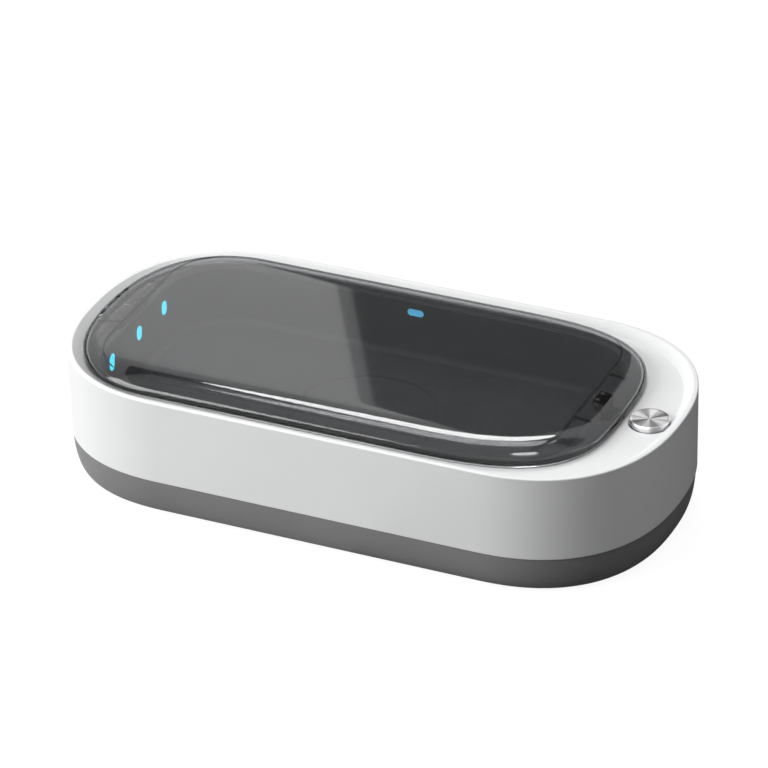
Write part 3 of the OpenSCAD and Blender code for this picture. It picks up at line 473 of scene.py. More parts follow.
def white_shell():
    """White band, rim and deck, with the posts and openings that belong to them."""
    rim_edge, slope_foot, seam_edge, inner_edge, inner_seam = 0.5, 0.6, 0.3, 0.8, 0.2
    well_wall, stem_gap, lid_room = 1.35, 0.08, 0.3
    shell = ring_solid("white_shell", BODY, filleted([
        (CAP_IN, seat_z, 0),
        (shell_wall, seat_z, inner_edge),
        (shell_wall, seam_z, inner_seam),
        (0.0, seam_z, seam_edge),
        (0.0, rim_z, rim_edge),
        (rim_w, rim_z, rim_edge),
        (rim_to_deck, deck_z, slope_foot),
        (CAP_IN, deck_z, 0),
    ]))
    add(shell, shell_ledge(), hinge_trough())
    add(shell, *upright_bars(with_mirror(case_screw_at), shell_post))
    add(shell, *upright_bars(with_mirror(guide_screw_at), guide_post))
    add(shell, cylinder(button_x, 0, well_floor_z, seat_z + overlap, well_r + well_wall, 72))
    cut(shell, ring_solid("opening", LID, [(opening_in, seat_z), (opening_in, rim_z + past)]))
    tray_room = -tray_wall - tray_gap
    cut(shell, ring_solid("walls", CHAMBER, [(tray_room, 0), (tray_room, rim_z)]))
    swing = bar_y(hinge_x, hinge_z, swing_r, -trough_half, trough_half, 72)
    combine(swing, [ring_solid("edge", LID, [(-lid_room, 0), (-lid_room, rim_z + past)])], "INTERSECT")
    stem_hole = cylinder(button_x, 0, well_floor_z - past, well_top + past, stem_r + stem_gap)
    cut(shell, swing, button_well(), stem_hole)
    cut(shell, *upright_bars(with_mirror(case_screw_at), shell_post_hole))
    cut(shell, *upright_bars(with_mirror(guide_screw_at), guide_post_hole))
    cut(shell, lamp_board_room(-1), lamp_board_room(1))
    return shade(shell)


def lamp_board_room(side):
    """Cutter behind a side wall of the chamber for its lamp board."""
    half_w, low, deep = 9.5, 34.8, 1.3
    ys = sorted((side * chamber_half, side * (wall_y + deep)))
    return block((chamber_x - half_w, ys[0], low), (chamber_x + half_w, ys[1], seat_z + overlap))


def shell_ledge():
    """Ledge under the deck's edge that the tray's flange lies on."""
    bite, ledge_w = 2.0, 1.4
    outer, inner = opening_in - bite, opening_in + ledge_w
    low, high = ledge_z, seat_z + overlap
    profile = [(outer, low), (outer, high), (inner, high), (inner, low)]
    return ring_solid("ledge", LID, profile, closed=True)


def hinge_trough():
    """Block under the deck's left end, in which the lid's edge swings."""
    side_t, floor_t, end_t = 2, 2.2, 1.8
    trough = block((-body_half, -trough_half - side_t, hinge_z - swing_r - floor_t),
                   (hinge_x + swing_r + end_t, trough_half + side_t, seat_z + overlap))
    inside = ring_solid("inside", BODY, [(shell_wall / 2, 0), (shell_wall / 2, rim_z)])
    return combine(trough, [inside], "INTERSECT")


def trough_lining():
    """Thin dark lining of the trough, which the lid's edge swings over."""
    outer_r, inner_r = swing_r - 0.02, swing_r - 0.17
    end_gap, lid_gap, deck_gap = 0.3, 0.1, 0.4
    half = trough_half - end_gap
    lining = bar_y(hinge_x, hinge_z, outer_r, -half, half, 72)
    lining.name = lining.data.name = "trough_lining"
    edge = ring_solid("edge", LID, [(-lid_gap, 0), (-lid_gap, deck_z - deck_gap)])
    combine(lining, [edge], "INTERSECT")
    cut(lining, bar_y(hinge_x, hinge_z, inner_r, -trough_half, trough_half, 72))
    return shade(lining)


def button_well():
    """Cutter for the button's well, with a rounded lip at the deck."""
    lip = 0.3
    arc = [(well_r + lip - lip * cos(a), deck_z - lip + lip * sin(a)) for a in quarter(15)]
    return lathe("well", [(0, well_top), (well_r, well_top)] + arc + [(well_r + lip, rim_z), (0, rim_z)],
                 button_x, 0, 128)


# Base

def base_tub():
    """Dark base with a curved lower edge, a lip inside the seam, posts and holes."""
    height, inner_height = seam_z - foot_h, seam_z - foot_h - base_floor_t
    lip_z, lip_top, lip_out, lip_in = seam_z - 2.0, seam_z + 3.5, shell_wall + 0.15, shell_wall + 1.7
    curve_z, lip_edge, seam_edge = seam_z - 1.0, 0.3, 0.3
    inner = [(seam_step + base_wall + (base_curve - base_wall / 2) * (1 - cos(a)),
              seam_z - inner_height * sin(a)) for a in reversed(quarter(6))]
    inner = [(d, z) for d, z in inner if z < lip_z]
    edge = filleted([
        inner[-1] + (0,),
        (inner[-1][0], lip_z, 0),
        (lip_in, lip_z, 0),
        (lip_in, lip_top, lip_edge),
        (lip_out, lip_top, lip_edge),
        (lip_out, seam_z, 0),
        (seam_step, seam_z, seam_edge),
        (seam_step, curve_z, 0),
    ])
    outer = [(seam_step + base_curve * (1 - cos(a)), seam_z - height * sin(a)) for a in quarter(6)]
    outer = [(d, z) for d, z in outer if z < curve_z]
    middle = CAP_IN + 4
    profile = [(middle, inner[0][1])] + inner + edge[1:] + outer + [(middle, outer[-1][1])]
    tub = ring_solid("base_tub", BODY, profile)
    add(tub, *upright_bars(with_mirror(case_screw_at), base_post))
    add(tub, *upright_bars(board_screw_at, board_post))
    cut(tub, *[case_screw_hole(x, y) for x, y in with_mirror(case_screw_at)])
    cut(tub, *upright_bars(board_screw_at, board_post_hole))
    foot_pocket = (0.0, foot_h + foot_seat, foot_r + 0.1)
    cut(tub, *[cylinder(x, y, *foot_pocket, 72) for x, y in with_mirror(foot_at)])
    cut(tub, inlet_hole())
    return shade(tub)


def case_screw_hole(x, y):
    """Cutter for a case screw, with room for its head below."""
    head_r, head_z, hole_r, top = 2.5, 8, 1.4, 18.2
    profile = [(0, 0), (head_r, 0), (head_r, head_z), (hole_r, head_z), (hole_r, top), (0, top)]
    return lathe("hole", profile, x, y, 48)


def inlet_hole():
    """Cutter for the power inlet in the back wall."""
    half_w, half_h, corner_r, y0, y1 = 4.62, 1.75, 1.45, 47.5, 60
    return along_y(round_rect(-half_w, half_w, half_h, corner_r, 8), 0, inlet_z, y0, y1)


# Tray and mat

def chamber_tray():
    """Dark tray round the phone's room, with the flange that it hangs by."""
    flange_in, flange_edge, foot_edge, floor_edge, lip = 1.4, 0.3, 1.2, 2.6, 0.5
    plate = ring_solid("tray_shell", LID, filleted([
        (CAP_IN, seat_z, 0),
        (flange_in, seat_z, 0),
        (flange_in, flange_z, flange_edge),
        (CAP_IN, flange_z, 0),
    ]))
    cut(plate, block((-body_half, -trough_half - tray_gap, 0),
                     (hinge_x + swing_r + tray_gap, trough_half + tray_gap, rim_z)))
    walls = ring_solid("walls", CHAMBER, filleted([
        (CAP_IN, tray_z, 0),
        (-tray_wall, tray_z, foot_edge),
        (-tray_wall, flange_z, 0),
        (CAP_IN, flange_z, 0),
    ]))
    flare = [(lip * cos(a) - lip, flange_z - lip + lip * sin(a)) for a in quarter(15)]
    floor = filleted([(CAP_IN, floor_z, 0), (0.0, floor_z, floor_edge), (0.0, flange_z - lip, 0)])
    room = ring_solid("room", CHAMBER, floor[:-1] + flare + [(-lip, rim_z), (CAP_IN, rim_z)])
    add(plate, walls)
    add(plate, *upright_bars(with_mirror(coil_screw_at), coil_post))
    cut(plate, room, hook_slot(), *lamp_openings())
    cut(plate, *upright_bars(with_mirror(coil_screw_at), coil_post_hole))
    cut(plate, *upright_bars(with_mirror(hinge_screw_at), hinge_screw_hole))
    return shade(plate)


def hook_slot():
    """Cutter for the slot in the flange that the lid's hook goes through."""
    x0, x1, half = 81.6, 86.4, 4.6
    return block((x0, -half, seat_z - past), (x1, half, rim_z))


def lamp_openings():
    """Cutters for the lamp windows: three in each end wall and one in each side wall."""
    upright, level = pill(3.4, 5.3), pill(6.1, 2.5)
    cutters = []
    for y in (-lamp_pitch, 0, lamp_pitch):
        cutters.append(along_x(upright, y, lamp_z, wall_x0 - past, chamber_x0 + past))
        cutters.append(along_x(upright, y, lamp_z, chamber_x1 - past, wall_x1 + past))
    cutters.append(along_y(level, chamber_x, side_lamp_z, chamber_half - past, wall_y + past))
    cutters.append(along_y(level, chamber_x, side_lamp_z, -wall_y - past, past - chamber_half))
    return cutters


def phone_mat():
    """Soft mat with a ring groove over the coil."""
    top = floor_z + mat_t
    foot_edge, top_edge, groove_edge = 0.1, 0.5, 0.3
    mat = ring_solid("soft_mat", CHAMBER, filleted([
        (CAP_IN, floor_z, 0), (mat_in, floor_z, foot_edge), (mat_in, top, top_edge), (CAP_IN, top, 0)]))
    r0, r1, groove_depth = 24.5, 26.0, 0.5
    groove_z = top - groove_depth
    groove = filleted([
        (r0, top + past, 0), (r0, groove_z, groove_edge), (r1, groove_z, groove_edge), (r1, top + past, 0)])
    cut(mat, skin("groove", [circle(chamber_x, 0, z, r, 96) for r, z in groove], closed=True))
    return shade(mat)


# Lid

def lid_profile(t, crown):
    """The lid's shoulder moved inwards by t, from its side to the roof."""
    return [(t + (shoulder_w - t / 2) * (1 - cos(a)), shoulder_z + (shoulder_h - t - crown) * sin(a))
            for a in quarter(5)]


def roof_rings(d, z, crown):
    """Rings that carry the roof's slight crown in from the shoulder to the lid's middle line."""
    edge = inset(LID, d)
    left, right = lid_x0 + lid_half_w, lid_x1 - lid_half_w
    steps = 10
    rings = []
    for k in range(1, steps + 1):
        s = k / steps
        ring = []
        for x, y in edge:
            mid = max(left, min(right, x))
            ring.append((x + (mid - x) * s, y * (1 - s), z + crown * (1 - (1 - s) ** 2)))
        rings.append(ring)
    return rings


def lid_solid(name, t):
    """The lid's form moved inwards by t, filled."""
    profile = [(t, lid_z - past)] + lid_profile(t, roof_crown)
    return merge_middle(skin(name, level_rings(LID, profile) + roof_rings(*profile[-1], roof_crown)))


def lid_cover():
    """Hollow smoked lid with two lugs for the pin and a boss for the hook."""
    foot_edge, knuckle_gap, pin_gap, pin_half = 0.4, 0.2, 0.05, 10
    lug_spans = [(-7.2, -4.2), (4.2, 7.2)]
    room_spans = [(-4.1, 4.1), (7.3, 10.1), (-10.1, -7.3)]
    outer = lid_profile(0.0, roof_crown)
    inner = lid_profile(lid_t, roof_crown)
    edge = filleted([
        (lid_t, shoulder_z, 0), (lid_t, lid_z, foot_edge), (0.0, lid_z, foot_edge), (0.0, shoulder_z, 0)])
    rings = level_rings(LID, inner[::-1] + edge[1:-1] + outer)
    inside, outside = roof_rings(*inner[-1], roof_crown), roof_rings(*outer[-1], roof_crown)
    lid = merge_middle(skin("smoked_lid", inside[::-1] + rings + outside))
    for y0, y1 in lug_spans:
        add(lid, bar_y(hinge_x, hinge_z, knuckle_r, y0, y1))
    add(lid, hook_boss())
    for y0, y1 in room_spans:
        cut(lid, bar_y(hinge_x, hinge_z, knuckle_r + knuckle_gap, y0, y1))
    cut(lid, bar_y(hinge_x, hinge_z, pin_r + pin_gap, -pin_half, pin_half))
    cut(lid, *upright_bars(with_mirror(hook_screw_at), hook_screw_hole))
    return shade(lid)


def hook_boss():
    """Boss under the lid that the hook is screwed to, cut to the lid's form."""
    inwards, side, plate_t = 2.6, 0.2, 1.2
    boss = block((hook_x - inwards, -hook_half - side, hook_plate_z + plate_t),
                 (hook_x + hook_t, hook_half + side, lid_top_z))
    return combine(boss, [lid_solid("core", lid_t / 2)], "INTERSECT")


def roof_rib():
    """The lid's locating rib, finished near black: painted shade for the dark line that the clear rib shows
    through the roof.
    """
    into_roof = 0.75
    rib = combine(rib_and_gussets(), [lid_solid("core", lid_t * into_roof)], "INTERSECT")
    rib.name = rib.data.name = "roof_rib"
    return shade(rib)


def rib_and_gussets():
    """Thin rounded rectangle under the roof, with short gussets outside it."""
    end_in, side_out, into_roof, edge = 1.2, 0.5, 0.45, 0.15
    x0, x1, half, r = chamber_x0 + end_in, chamber_x1 - end_in, chamber_half + side_out, chamber_r - 2
    low, high = roof_z - rib_h, roof_z + into_roof
    side_gusset_x, side_gusset_l, end_gusset_y, end_gusset_l = 40, 3, 15.1, 6
    profile = [(0.0, high), (0.0, low + edge), (edge, low),
               (rib_t - edge, low), (rib_t, low + edge), (rib_t, high)]
    outline = round_rect(x0, x1, half, r)
    rib = ring_solid("rib", outline, profile, closed=True)
    for side in (-1, 1):
        for x in (chamber_x - side_gusset_x, chamber_x + side_gusset_x):
            ys = sorted((side * (half - rib_t), side * (half + side_gusset_l)))
            add(rib, block((x, ys[0], low), (x + rib_t, ys[1], high)))
        ys = sorted((side * end_gusset_y, side * (end_gusset_y + rib_t)))
        add(rib, block((x0 - end_gusset_l, ys[0], low), (x0 + rib_t, ys[1], high)))
        add(rib, block((x1 - rib_t, ys[0], low), (x1 + end_gusset_l, ys[1], high)))
    return rib


def lid_seal():
    """Black seal under the lid's edge, open at the hinge."""
    low, high, outer, inner, edge, draft = lid_z - 0.1, lid_z + 0.9, 1.8, 2.8, 0.3, 0.15
    gap_half, gap_end, gap_top = 12, hinge_x + swing_r + 1, rim_z + 1.4
    profile = filleted([(outer, low, 0), (outer, high, edge), (inner, high, edge), (inner, low, 0)])
    profile = profile[1:-1] + [(inner - draft, low), (outer + draft, low)]
    seal = ring_solid("seal_ring", LID, profile, closed=True)
    cut(seal, block((lid_x0 - past, -gap_half, 0), (gap_end, gap_half, gap_top)))
    return shade(seal)


# Button

def button_cap():
    """Spun cap: slightly dished top with a chamfered edge, skirt, and a socket for the stem."""
    wall, chamfer, edge, soft = 1.05, 0.4, 0.1, 0.03
    dish_r, dish_depth = 6.2, 0.12
    stem_in_cap, socket_r, socket_depth = 0.5, 1.57, 2.4
    dish_at = (5.8, 5.0, 4.0, 3.0, 2.0, 1.0, 0)
    dish = [(r, button_top - dish_depth * (1 - (r / dish_r) ** 2)) for r in dish_at]
    cap = lathe("button_cap", [
        (0, cap_roof_z),
        (button_r - wall, cap_roof_z),
        (button_r - wall, skirt_z),
        (button_r - edge, skirt_z),
        (button_r, skirt_z + edge),
        (button_r, button_top - chamfer - edge),
        (button_r - soft, button_top - chamfer),
        (button_r - chamfer, button_top - soft),
        (button_r - chamfer - edge, button_top),
    ] + dish, button_x, 0, 160)
    add(cap, cylinder(button_x, 0, skirt_z, cap_roof_z + stem_in_cap, stem_r, 64))
    cut(cap, cylinder(button_x, 0, skirt_z - past, skirt_z + socket_depth, socket_r, 48))
    return shade(cap, 20)


# Springs

def coil(turns, steps):
    """The angle and the share of the way along for each point of a coil."""
    last = round(turns * steps)
    return [(2 * pi * i / steps, i / last) for i in range(last + 1)]


def button_spring():
    """Coil round the stem, under the button's cap."""
    gap, r, wire_r = 0.3, 4.4, 0.3
    low, high = well_top + gap, cap_roof_z - gap
    path = [(button_x + r * cos(a), r * sin(a), low + (high - low) * t) for a, t in coil(4, 40)]
    return shade(tube("button_coil", path, wire_r, 12))


def latch_spring():
    """Coil along X behind the latch."""
    x0, length, r, wire_r = 91.25, 7.1, 1.7, 0.25
    path = [(x0 + length * t, r * sin(a), latch_spring_z - r * cos(a)) for a, t in coil(6, 32)]
    return shade(tube("latch_coil", path, wire_r, 10))


def hinge_spring():
    """Torsion spring round the pin, with one leg on the bracket and one under the roof."""
    r, half, wire_r = pin_r + 0.5, 3.3, 0.2
    bracket_t, leg_gap, lid_leg_x, lid_leg_z = 1.0, 0.25, 6.0, 2.95
    leg_z = flange_z + bracket_t + leg_gap
    path = [(hinge_x + x, half, leg_z) for x in (4.8, 3.4, r + wire_r)]
    for a, t in coil(6.75, 32):
        path.append((hinge_x + r * cos(a), half - 2 * half * t, hinge_z + r * sin(a)))
    path.append((hinge_x + r, -half, hinge_z + wire_r - r))
    path.append((hinge_x + lid_leg_x, -half, hinge_z + lid_leg_z))
    return shade(tube("hinge_coil", path, wire_r, 10))


# Finishes

def new_material(name):
    material = bpy.data.materials.new(name)
    material.use_nodes = True
    return material, material.node_tree.nodes, material.node_tree.links


def shader_of(material):
    return material.node_tree.nodes["Principled BSDF"]


def put(node, values):
    """Sets a node's inputs by name, and returns the node."""
    for name, value in values.items():
        node.inputs[name].default_value = value
    return node


def noise(nodes, links, scale, detail):
    """Noise that lies still in the part's own frame, with a scale in features per metre."""
    coordinates = nodes.new("ShaderNodeTexCoord")
    texture = put(nodes.new("ShaderNodeTexNoise"), {"Scale": scale, "Detail": detail})
    links.new(coordinates.outputs["Object"], texture.inputs["Vector"])
    return texture.outputs["Fac"]


def spread(nodes, links, source, low, high):
    """Turns a texture's value into one from low to high. Noise keeps mostly between 0.3 and 0.7."""
    ramp = nodes.new("ShaderNodeMapRange")
    put(ramp, {"From Min": 0.3, "From Max": 0.7, "To Min": low, "To Max": high})
    links.new(source, ramp.inputs["Value"])
    return ramp.outputs["Result"]


def tint(nodes, links, source, low, high):
    """Mixes two colours by a texture's value."""
    mix = nodes.new("ShaderNodeMix")
    mix.data_type = "RGBA"
    put(mix, {"A": low + (1.0,), "B": high + (1.0,)})
    links.new(source, mix.inputs["Factor"])
    return mix.outputs["Result"]


def grain(nodes, links, height, strength, distance):
    bump = put(nodes.new("ShaderNodeBump"), {"Strength": strength, "Distance": distance})
    links.new(height, bump.inputs["Height"])
    return bump.outputs["Normal"]


def shades(colour, change):
    """Two colours a little darker and lighter than one."""
    return tuple(c * (1 - change) for c in colour), tuple(min(1.0, c * (1 + change)) for c in colour)


def moulded(name, colour, rough, change, texture_scale, texture, metallic=0.0):
    """Moulded plastic or plain metal: faint shade changes, uneven gloss and a fine skin texture."""
    smoother, rougher, texture_depth = 0.88, 1.12, 0.00004
    material, nodes, links = new_material(name)
    shader = put(shader_of(material), {"Metallic": metallic})
    cloud = spread(nodes, links, noise(nodes, links, 60, 3), 0, 1)
    fine = noise(nodes, links, texture_scale, 2)
    gloss = spread(nodes, links, noise(nodes, links, 250, 4), rough * smoother, rough * rougher)
    links.new(tint(nodes, links, cloud, *shades(colour, change)), shader.inputs["Base Color"])
    links.new(gloss, shader.inputs["Roughness"])
    links.new(grain(nodes, links, fine, texture, texture_depth), shader.inputs["Normal"])
    return material


def smoked_material():
    """Smoked clear plastic: a polished skin, and smoke in its body that darkens the longer ways through."""
    dark, light, smoke_colour = (0.80, 0.81, 0.82), (0.83, 0.84, 0.85), (0.30, 0.31, 0.32, 1.0)
    material, nodes, links = new_material("smoked_plastic")
    shader = put(shader_of(material), {"Transmission Weight": 1.0, "IOR": 1.49})
    cloud = spread(nodes, links, noise(nodes, links, 35, 2), 0, 1)
    gloss = spread(nodes, links, noise(nodes, links, 60, 2), 0.028, 0.036)
    smoke = nodes.new("ShaderNodeVolumeAbsorption")
    put(smoke, {"Color": smoke_colour, "Density": smoke_per_metre})
    links.new(tint(nodes, links, cloud, dark, light), shader.inputs["Base Color"])
    links.new(gloss, shader.inputs["Roughness"])
    links.new(smoke.outputs["Volume"], nodes["Material Output"].inputs["Volume"])
    return material


# Painted highlight and shade on the spun cap: how light its wedges are, by share of a turn, the same in
# both halves of the turn
PAINTED_SPUN_HIGHLIGHTS = [(0.014, 0.50), (0.061, 0.85), (0.095, 0.55), (0.118, 0.05), (0.16, 0.30), (0.22, 0.62),
              (0.25, 0.95), (0.275, 1.00), (0.305, 0.80), (0.361, 0.25), (0.41, 0.58), (0.472, 0.88)]


def painted_highlight_wedges(nodes, links, place):
    """How light the spun cap is painted at each angle about its middle: painted highlight and shade wedges
    in place of reflected light.
    """
    around = nodes.new("ShaderNodeTexGradient")
    around.gradient_type = "RADIAL"
    links.new(place, around.inputs["Vector"])
    painted_sheen = nodes.new("ShaderNodeFloatCurve")
    curve = painted_sheen.mapping.curves[0]
    between = (PAINTED_SPUN_HIGHLIGHTS[0][1] + PAINTED_SPUN_HIGHLIGHTS[-1][1]) / 2
    curve.points[0].location = (0.0, between)
    curve.points[1].location = (1.0, between)
    for half in (0.0, 0.5):
        for turn, level in PAINTED_SPUN_HIGHLIGHTS:
            curve.points.new(turn + half, level)
    painted_sheen.mapping.update()
    links.new(around.outputs["Fac"], painted_sheen.inputs["Value"])
    return painted_sheen.outputs["Value"]


def spun_material():
    """Spun metal: fine rings about the button's middle, painted highlight and shade wedges in its colour,
    and stretched gloss.
    """
    # dark and light are the two ends of the painted shade and painted highlight wedges
    dark, light, ring_depth = (0.14, 0.14, 0.145), (0.90, 0.90, 0.91), 0.00003
    material, nodes, links = new_material("spun_metal")
    shader = put(shader_of(material), {"Metallic": 1.0, "Anisotropic": 0.25})
    coordinates = nodes.new("ShaderNodeTexCoord")
    centre = put(nodes.new("ShaderNodeMapping"), {"Location": (-button_x * MM, 0, 0)})
    rings = put(nodes.new("ShaderNodeTexWave"), {"Scale": 900, "Distortion": 0.3, "Detail": 2})
    rings.wave_type = "RINGS"
    rings.rings_direction = "Z"
    tangent = nodes.new("ShaderNodeTangent")
    tangent.direction_type = "RADIAL"
    tangent.axis = "Z"
    place, ring = centre.outputs["Vector"], rings.outputs["Fac"]
    links.new(coordinates.outputs["Object"], centre.inputs["Vector"])
    links.new(place, rings.inputs["Vector"])
    # The base colour carries the painted highlight and shade wedges
    links.new(tint(nodes, links, painted_highlight_wedges(nodes, links, place), dark, light), shader.inputs["Base Color"])
    links.new(spread(nodes, links, ring, 0.27, 0.34), shader.inputs["Roughness"])
    links.new(grain(nodes, links, ring, 0.25, ring_depth), shader.inputs["Normal"])
    links.new(tangent.outputs["Tangent"], shader.inputs["Tangent"])
    return material


def lamp_material(name, colour, strength):
    """A lit lamp window of milky plastic, which glows in its own colour."""
    material, nodes, links = new_material(name)
    shader = put(shader_of(material), {"Emission Strength": strength, "Roughness": 0.3})
    cloud = spread(nodes, links, noise(nodes, links, 900, 2), 0, 1)
    links.new(tint(nodes, links, cloud, *shades(colour, 0.06)), shader.inputs["Base Color"])
    links.new(tint(nodes, links, cloud, *shades(colour, 0.04)), shader.inputs["Emission Color"])
    return material


# Colour, roughness, how much the shade changes, scale and strength of the skin texture, and metallic
white_plastic = moulded("white_plastic", (0.82, 0.825, 0.83), 0.36, 0.008, 3000, 0.05)
grey_plastic = moulded("grey_plastic", (0.235, 0.235, 0.238), 0.50, 0.03, 2600, 0.12)
put(shader_of(grey_plastic), {"Specular IOR Level": 0.1})
smoked_plastic = smoked_material()
# Near-black finish of the roof's rib: painted shade in place of the darkness that the clear rib shows
rib_painted_shade = moulded("rib_painted_shade", (0.008, 0.008, 0.009), 0.35, 0.05, 2200, 0.05)
tray_plastic = moulded("tray_plastic", (0.13, 0.132, 0.136), 0.40, 0.04, 700, 0.04)
black_plastic = moulded("black_plastic", (0.02, 0.02, 0.021), 0.38, 0.05, 2200, 0.15)
natural_plastic = moulded("natural_plastic", (0.60, 0.58, 0.53), 0.42, 0.03, 2200, 0.10)
black_rubber = moulded("black_rubber", (0.018, 0.018, 0.018), 0.72, 0.08, 1800, 0.30)
mat_silicone = moulded("mat_silicone", (0.085, 0.087, 0.09), 0.60, 0.05, 500, 0.04)
spun_metal = spun_material()
steel = moulded("steel", (0.56, 0.56, 0.57), 0.30, 0.04, 1500, 0.10, 1.0)
dark_steel = moulded("dark_steel", (0.10, 0.10, 0.105), 0.36, 0.05, 1500, 0.10, 1.0)
spring_steel = moulded("spring_steel", (0.48, 0.48, 0.50), 0.26, 0.04, 1500, 0.08, 1.0)
board_green = moulded("board_green", (0.015, 0.11, 0.045), 0.34, 0.10, 900, 0.20)
chip_black = moulded("chip_black", (0.022, 0.022, 0.024), 0.46, 0.05, 2400, 0.20)
lamp_cyan = lamp_material("lamp_cyan", (0.04, 0.66, 0.86), 2.4)
lamp_blue = lamp_material("lamp_blue", (0.10, 0.50, 0.80), 1.5)
ribbon = moulded("ribbon", (0.55, 0.24, 0.05), 0.36, 0.05, 1500, 0.10)
copper = moulded("copper", (0.72, 0.36, 0.20), 0.28, 0.04, 1500, 0.08, 1.0)
ferrite = moulded("ferrite", (0.05, 0.048, 0.047), 0.55, 0.10, 1800, 0.25)

CAD_FINISHES = [
    (black_plastic, "latch_hook", "hinge_bracket", "latch_guide"),
    (black_rubber, "rubber_feet"),
    (steel, "hinge_pin", "guide_screws", "coil_screws", "board_screws", "case_screws", "usb_socket"),
    (dark_steel, "hook_screws", "hinge_screws"),
    (natural_plastic, "button_plunger", "latch_slider", "coil_carrier"),
    (chip_black, "interlock_switch", "board_components"),
    (board_green, "led_board_left", "led_board_right", "led_board_front", "led_board_back"),
    (board_green, "control_board"),
    (lamp_cyan, "led_windows_left"),
    (lamp_blue, "led_windows_right", "led_window_front", "led_window_back"),
    (ribbon, "led_ribbons"),
    (copper, "charging_coil"),
    (ferrite, "coil_ferrite"),
]


def smooth_group():
    """Geometry nodes that shade a CAD node smooth and keep its edges over an angle sharp."""
    group = bpy.data.node_groups.new("smooth_by_angle", "GeometryNodeTree")
    group.interface.new_socket("Geometry", in_out="INPUT", socket_type="NodeSocketGeometry")
    group.interface.new_socket("Geometry", in_out="OUTPUT", socket_type="NodeSocketGeometry")
    nodes, links = group.nodes, group.links
    start, end = nodes.new("NodeGroupInput"), nodes.new("NodeGroupOutput")
    faces = nodes.new("GeometryNodeSetShadeSmooth")
    edges = nodes.new("GeometryNodeSetShadeSmooth")
    edges.domain = "EDGE"
    angle = nodes.new("GeometryNodeInputMeshEdgeAngle")
    limit = nodes.new("FunctionNodeCompare")
    limit.operation = "LESS_THAN"
    limit.inputs["B"].default_value = radians(30)
    links.new(start.outputs[0], faces.inputs["Geometry"])
    links.new(faces.outputs["Geometry"], edges.inputs["Geometry"])
    links.new(angle.outputs["Unsigned Angle"], limit.inputs["A"])
    links.new(limit.outputs["Result"], edges.inputs["Shade Smooth"])
    links.new(edges.outputs["Geometry"], end.inputs[0])
    return group


def dress_cad_nodes():
    """Finishes on the CAD nodes that stay, with softened edges."""
    group = smooth_group()
    for material, *names in CAD_FINISHES:
        for name in names:
            dress(frame["nodes"][name], material, group)


def dress(obj, material, group):
    """One CAD node's finish, with its flat faces merged, its edges softened and its curves smooth."""
    for place in obj.material_slots:
        place.link = "OBJECT"
        place.material = material
    if not obj.material_slots:
        obj.data.materials.append(material)
    merge = obj.modifiers.new("merge_flat_faces", "DECIMATE")
    merge.decimate_type = "DISSOLVE"
    merge.angle_limit = radians(0.5)
    soften = obj.modifiers.new("soften_edges", "BEVEL")
    soften.width = 0.12 * MM
    soften.segments = 2
    soften.limit_method = "ANGLE"
    soften.angle_limit = radians(40)
    smooth = obj.modifiers.new("smooth_by_angle", "NODES")
    smooth.node_group = group


def build():
    finish_piece(white_shell(), "base", "white_plastic", white_plastic, "upper_shell")
    finish_piece(base_tub(), "base", "grey_plastic", grey_plastic, "lower_case")
    finish_piece(chamber_tray(), "base", "tray_plastic", tray_plastic, "chamber_tray")
    finish_piece(phone_mat(), "base", "mat_silicone", mat_silicone, "phone_mat")
    finish_piece(lid_cover(), "lid", "smoked_plastic", smoked_plastic, "lid_cover")
    # The rib takes the near-black painted shade finish
    finish_piece(roof_rib(), "lid", "smoked_plastic", rib_painted_shade)
    finish_piece(lid_seal(), "lid", "black_rubber", black_rubber, "lid_seal")
    finish_piece(trough_lining(), "base", "black_plastic", black_plastic)
    finish_piece(button_cap(), "button", "spun_metal", spun_metal, "release_button")
    dress_cad_nodes()


# Light, floor and camera

def area_light(name, place, target, size, power, shape="RECTANGLE"):
    lamp = bpy.data.lights.new(name, "AREA")
    lamp.shape = shape
    lamp.size, lamp.size_y = size
    lamp.energy = power
    found = bpy.data.objects.new(name, lamp)
    found.location = place
    found.rotation_euler = (Vector(target) - Vector(place)).to_track_quat("-Z", "Y").to_euler()
    bpy.context.scene.collection.objects.link(found)


def direction(azimuth, elevation):
    """A unit vector from the object, where azimuth 0 is the front and 90 the button end."""
    a, e = radians(azimuth), radians(elevation)
    return Vector((sin(a) * cos(e), -cos(a) * cos(e), sin(e)))


def lights():
    """Each light's place is an azimuth and elevation from the object and a distance in metres."""
    middle = Vector((0, 0, 0.03))
    area_light("key", middle + direction(-47, 24) * 1.3, middle, (0.9, 0.9), 17.4)
    area_light("top", middle + direction(-20, 82) * 1.6, middle, (2.2, 2.2), 10)
    area_light("right", middle + direction(98, 18) * 1.5, middle, (0.5, 0.8), 1.5)
    area_light("strip", middle + direction(204.5, 53) * 1.4, middle, (0.56, 0.22), 4.4, "ELLIPSE")
    area_light("spark", middle + direction(61, 80) * 1.3, middle, (0.32, 0.28), 2.6, "ELLIPSE")
    behind_roof()
    card("top_card", (0, 0, 1.9), (0, 0, 0), (2.6, 2.6), 0.05)
    dark_surround()


def behind_roof():
    """What the flat roof mirrors to the camera: a light left of one line and a dark card right of it."""
    line, half_w = -0.0135, 0.3
    towards = mirrored(0, 1) - mirrored(0, 0)
    place = mirrored(line - half_w, 1.4)
    area_light("back_left", place, place - towards, (0.6, 0.5), 0.5)
    facing = towards.to_track_quat("Z", "Y").to_euler()
    card("half_card", mirrored(line + half_w, 1.5), facing, (0.62, 0.9), 0.12)


def view_axes():
    """Unit vectors to the right of the photograph's view and back to its camera."""
    azimuth = radians(view_azimuth)
    return Vector((cos(azimuth), sin(azimuth), 0)), direction(view_azimuth, view_elevation)


def mirrored(across, distance):
    """A place that the lid's flat roof reflects to the camera, so far right of the view's middle."""
    right, back = view_axes()
    away = Vector((-back.x, -back.y, back.z))
    roof_middle = Vector((-0.0066, 0.0173, 0.049))
    return roof_middle + right * across + away * distance


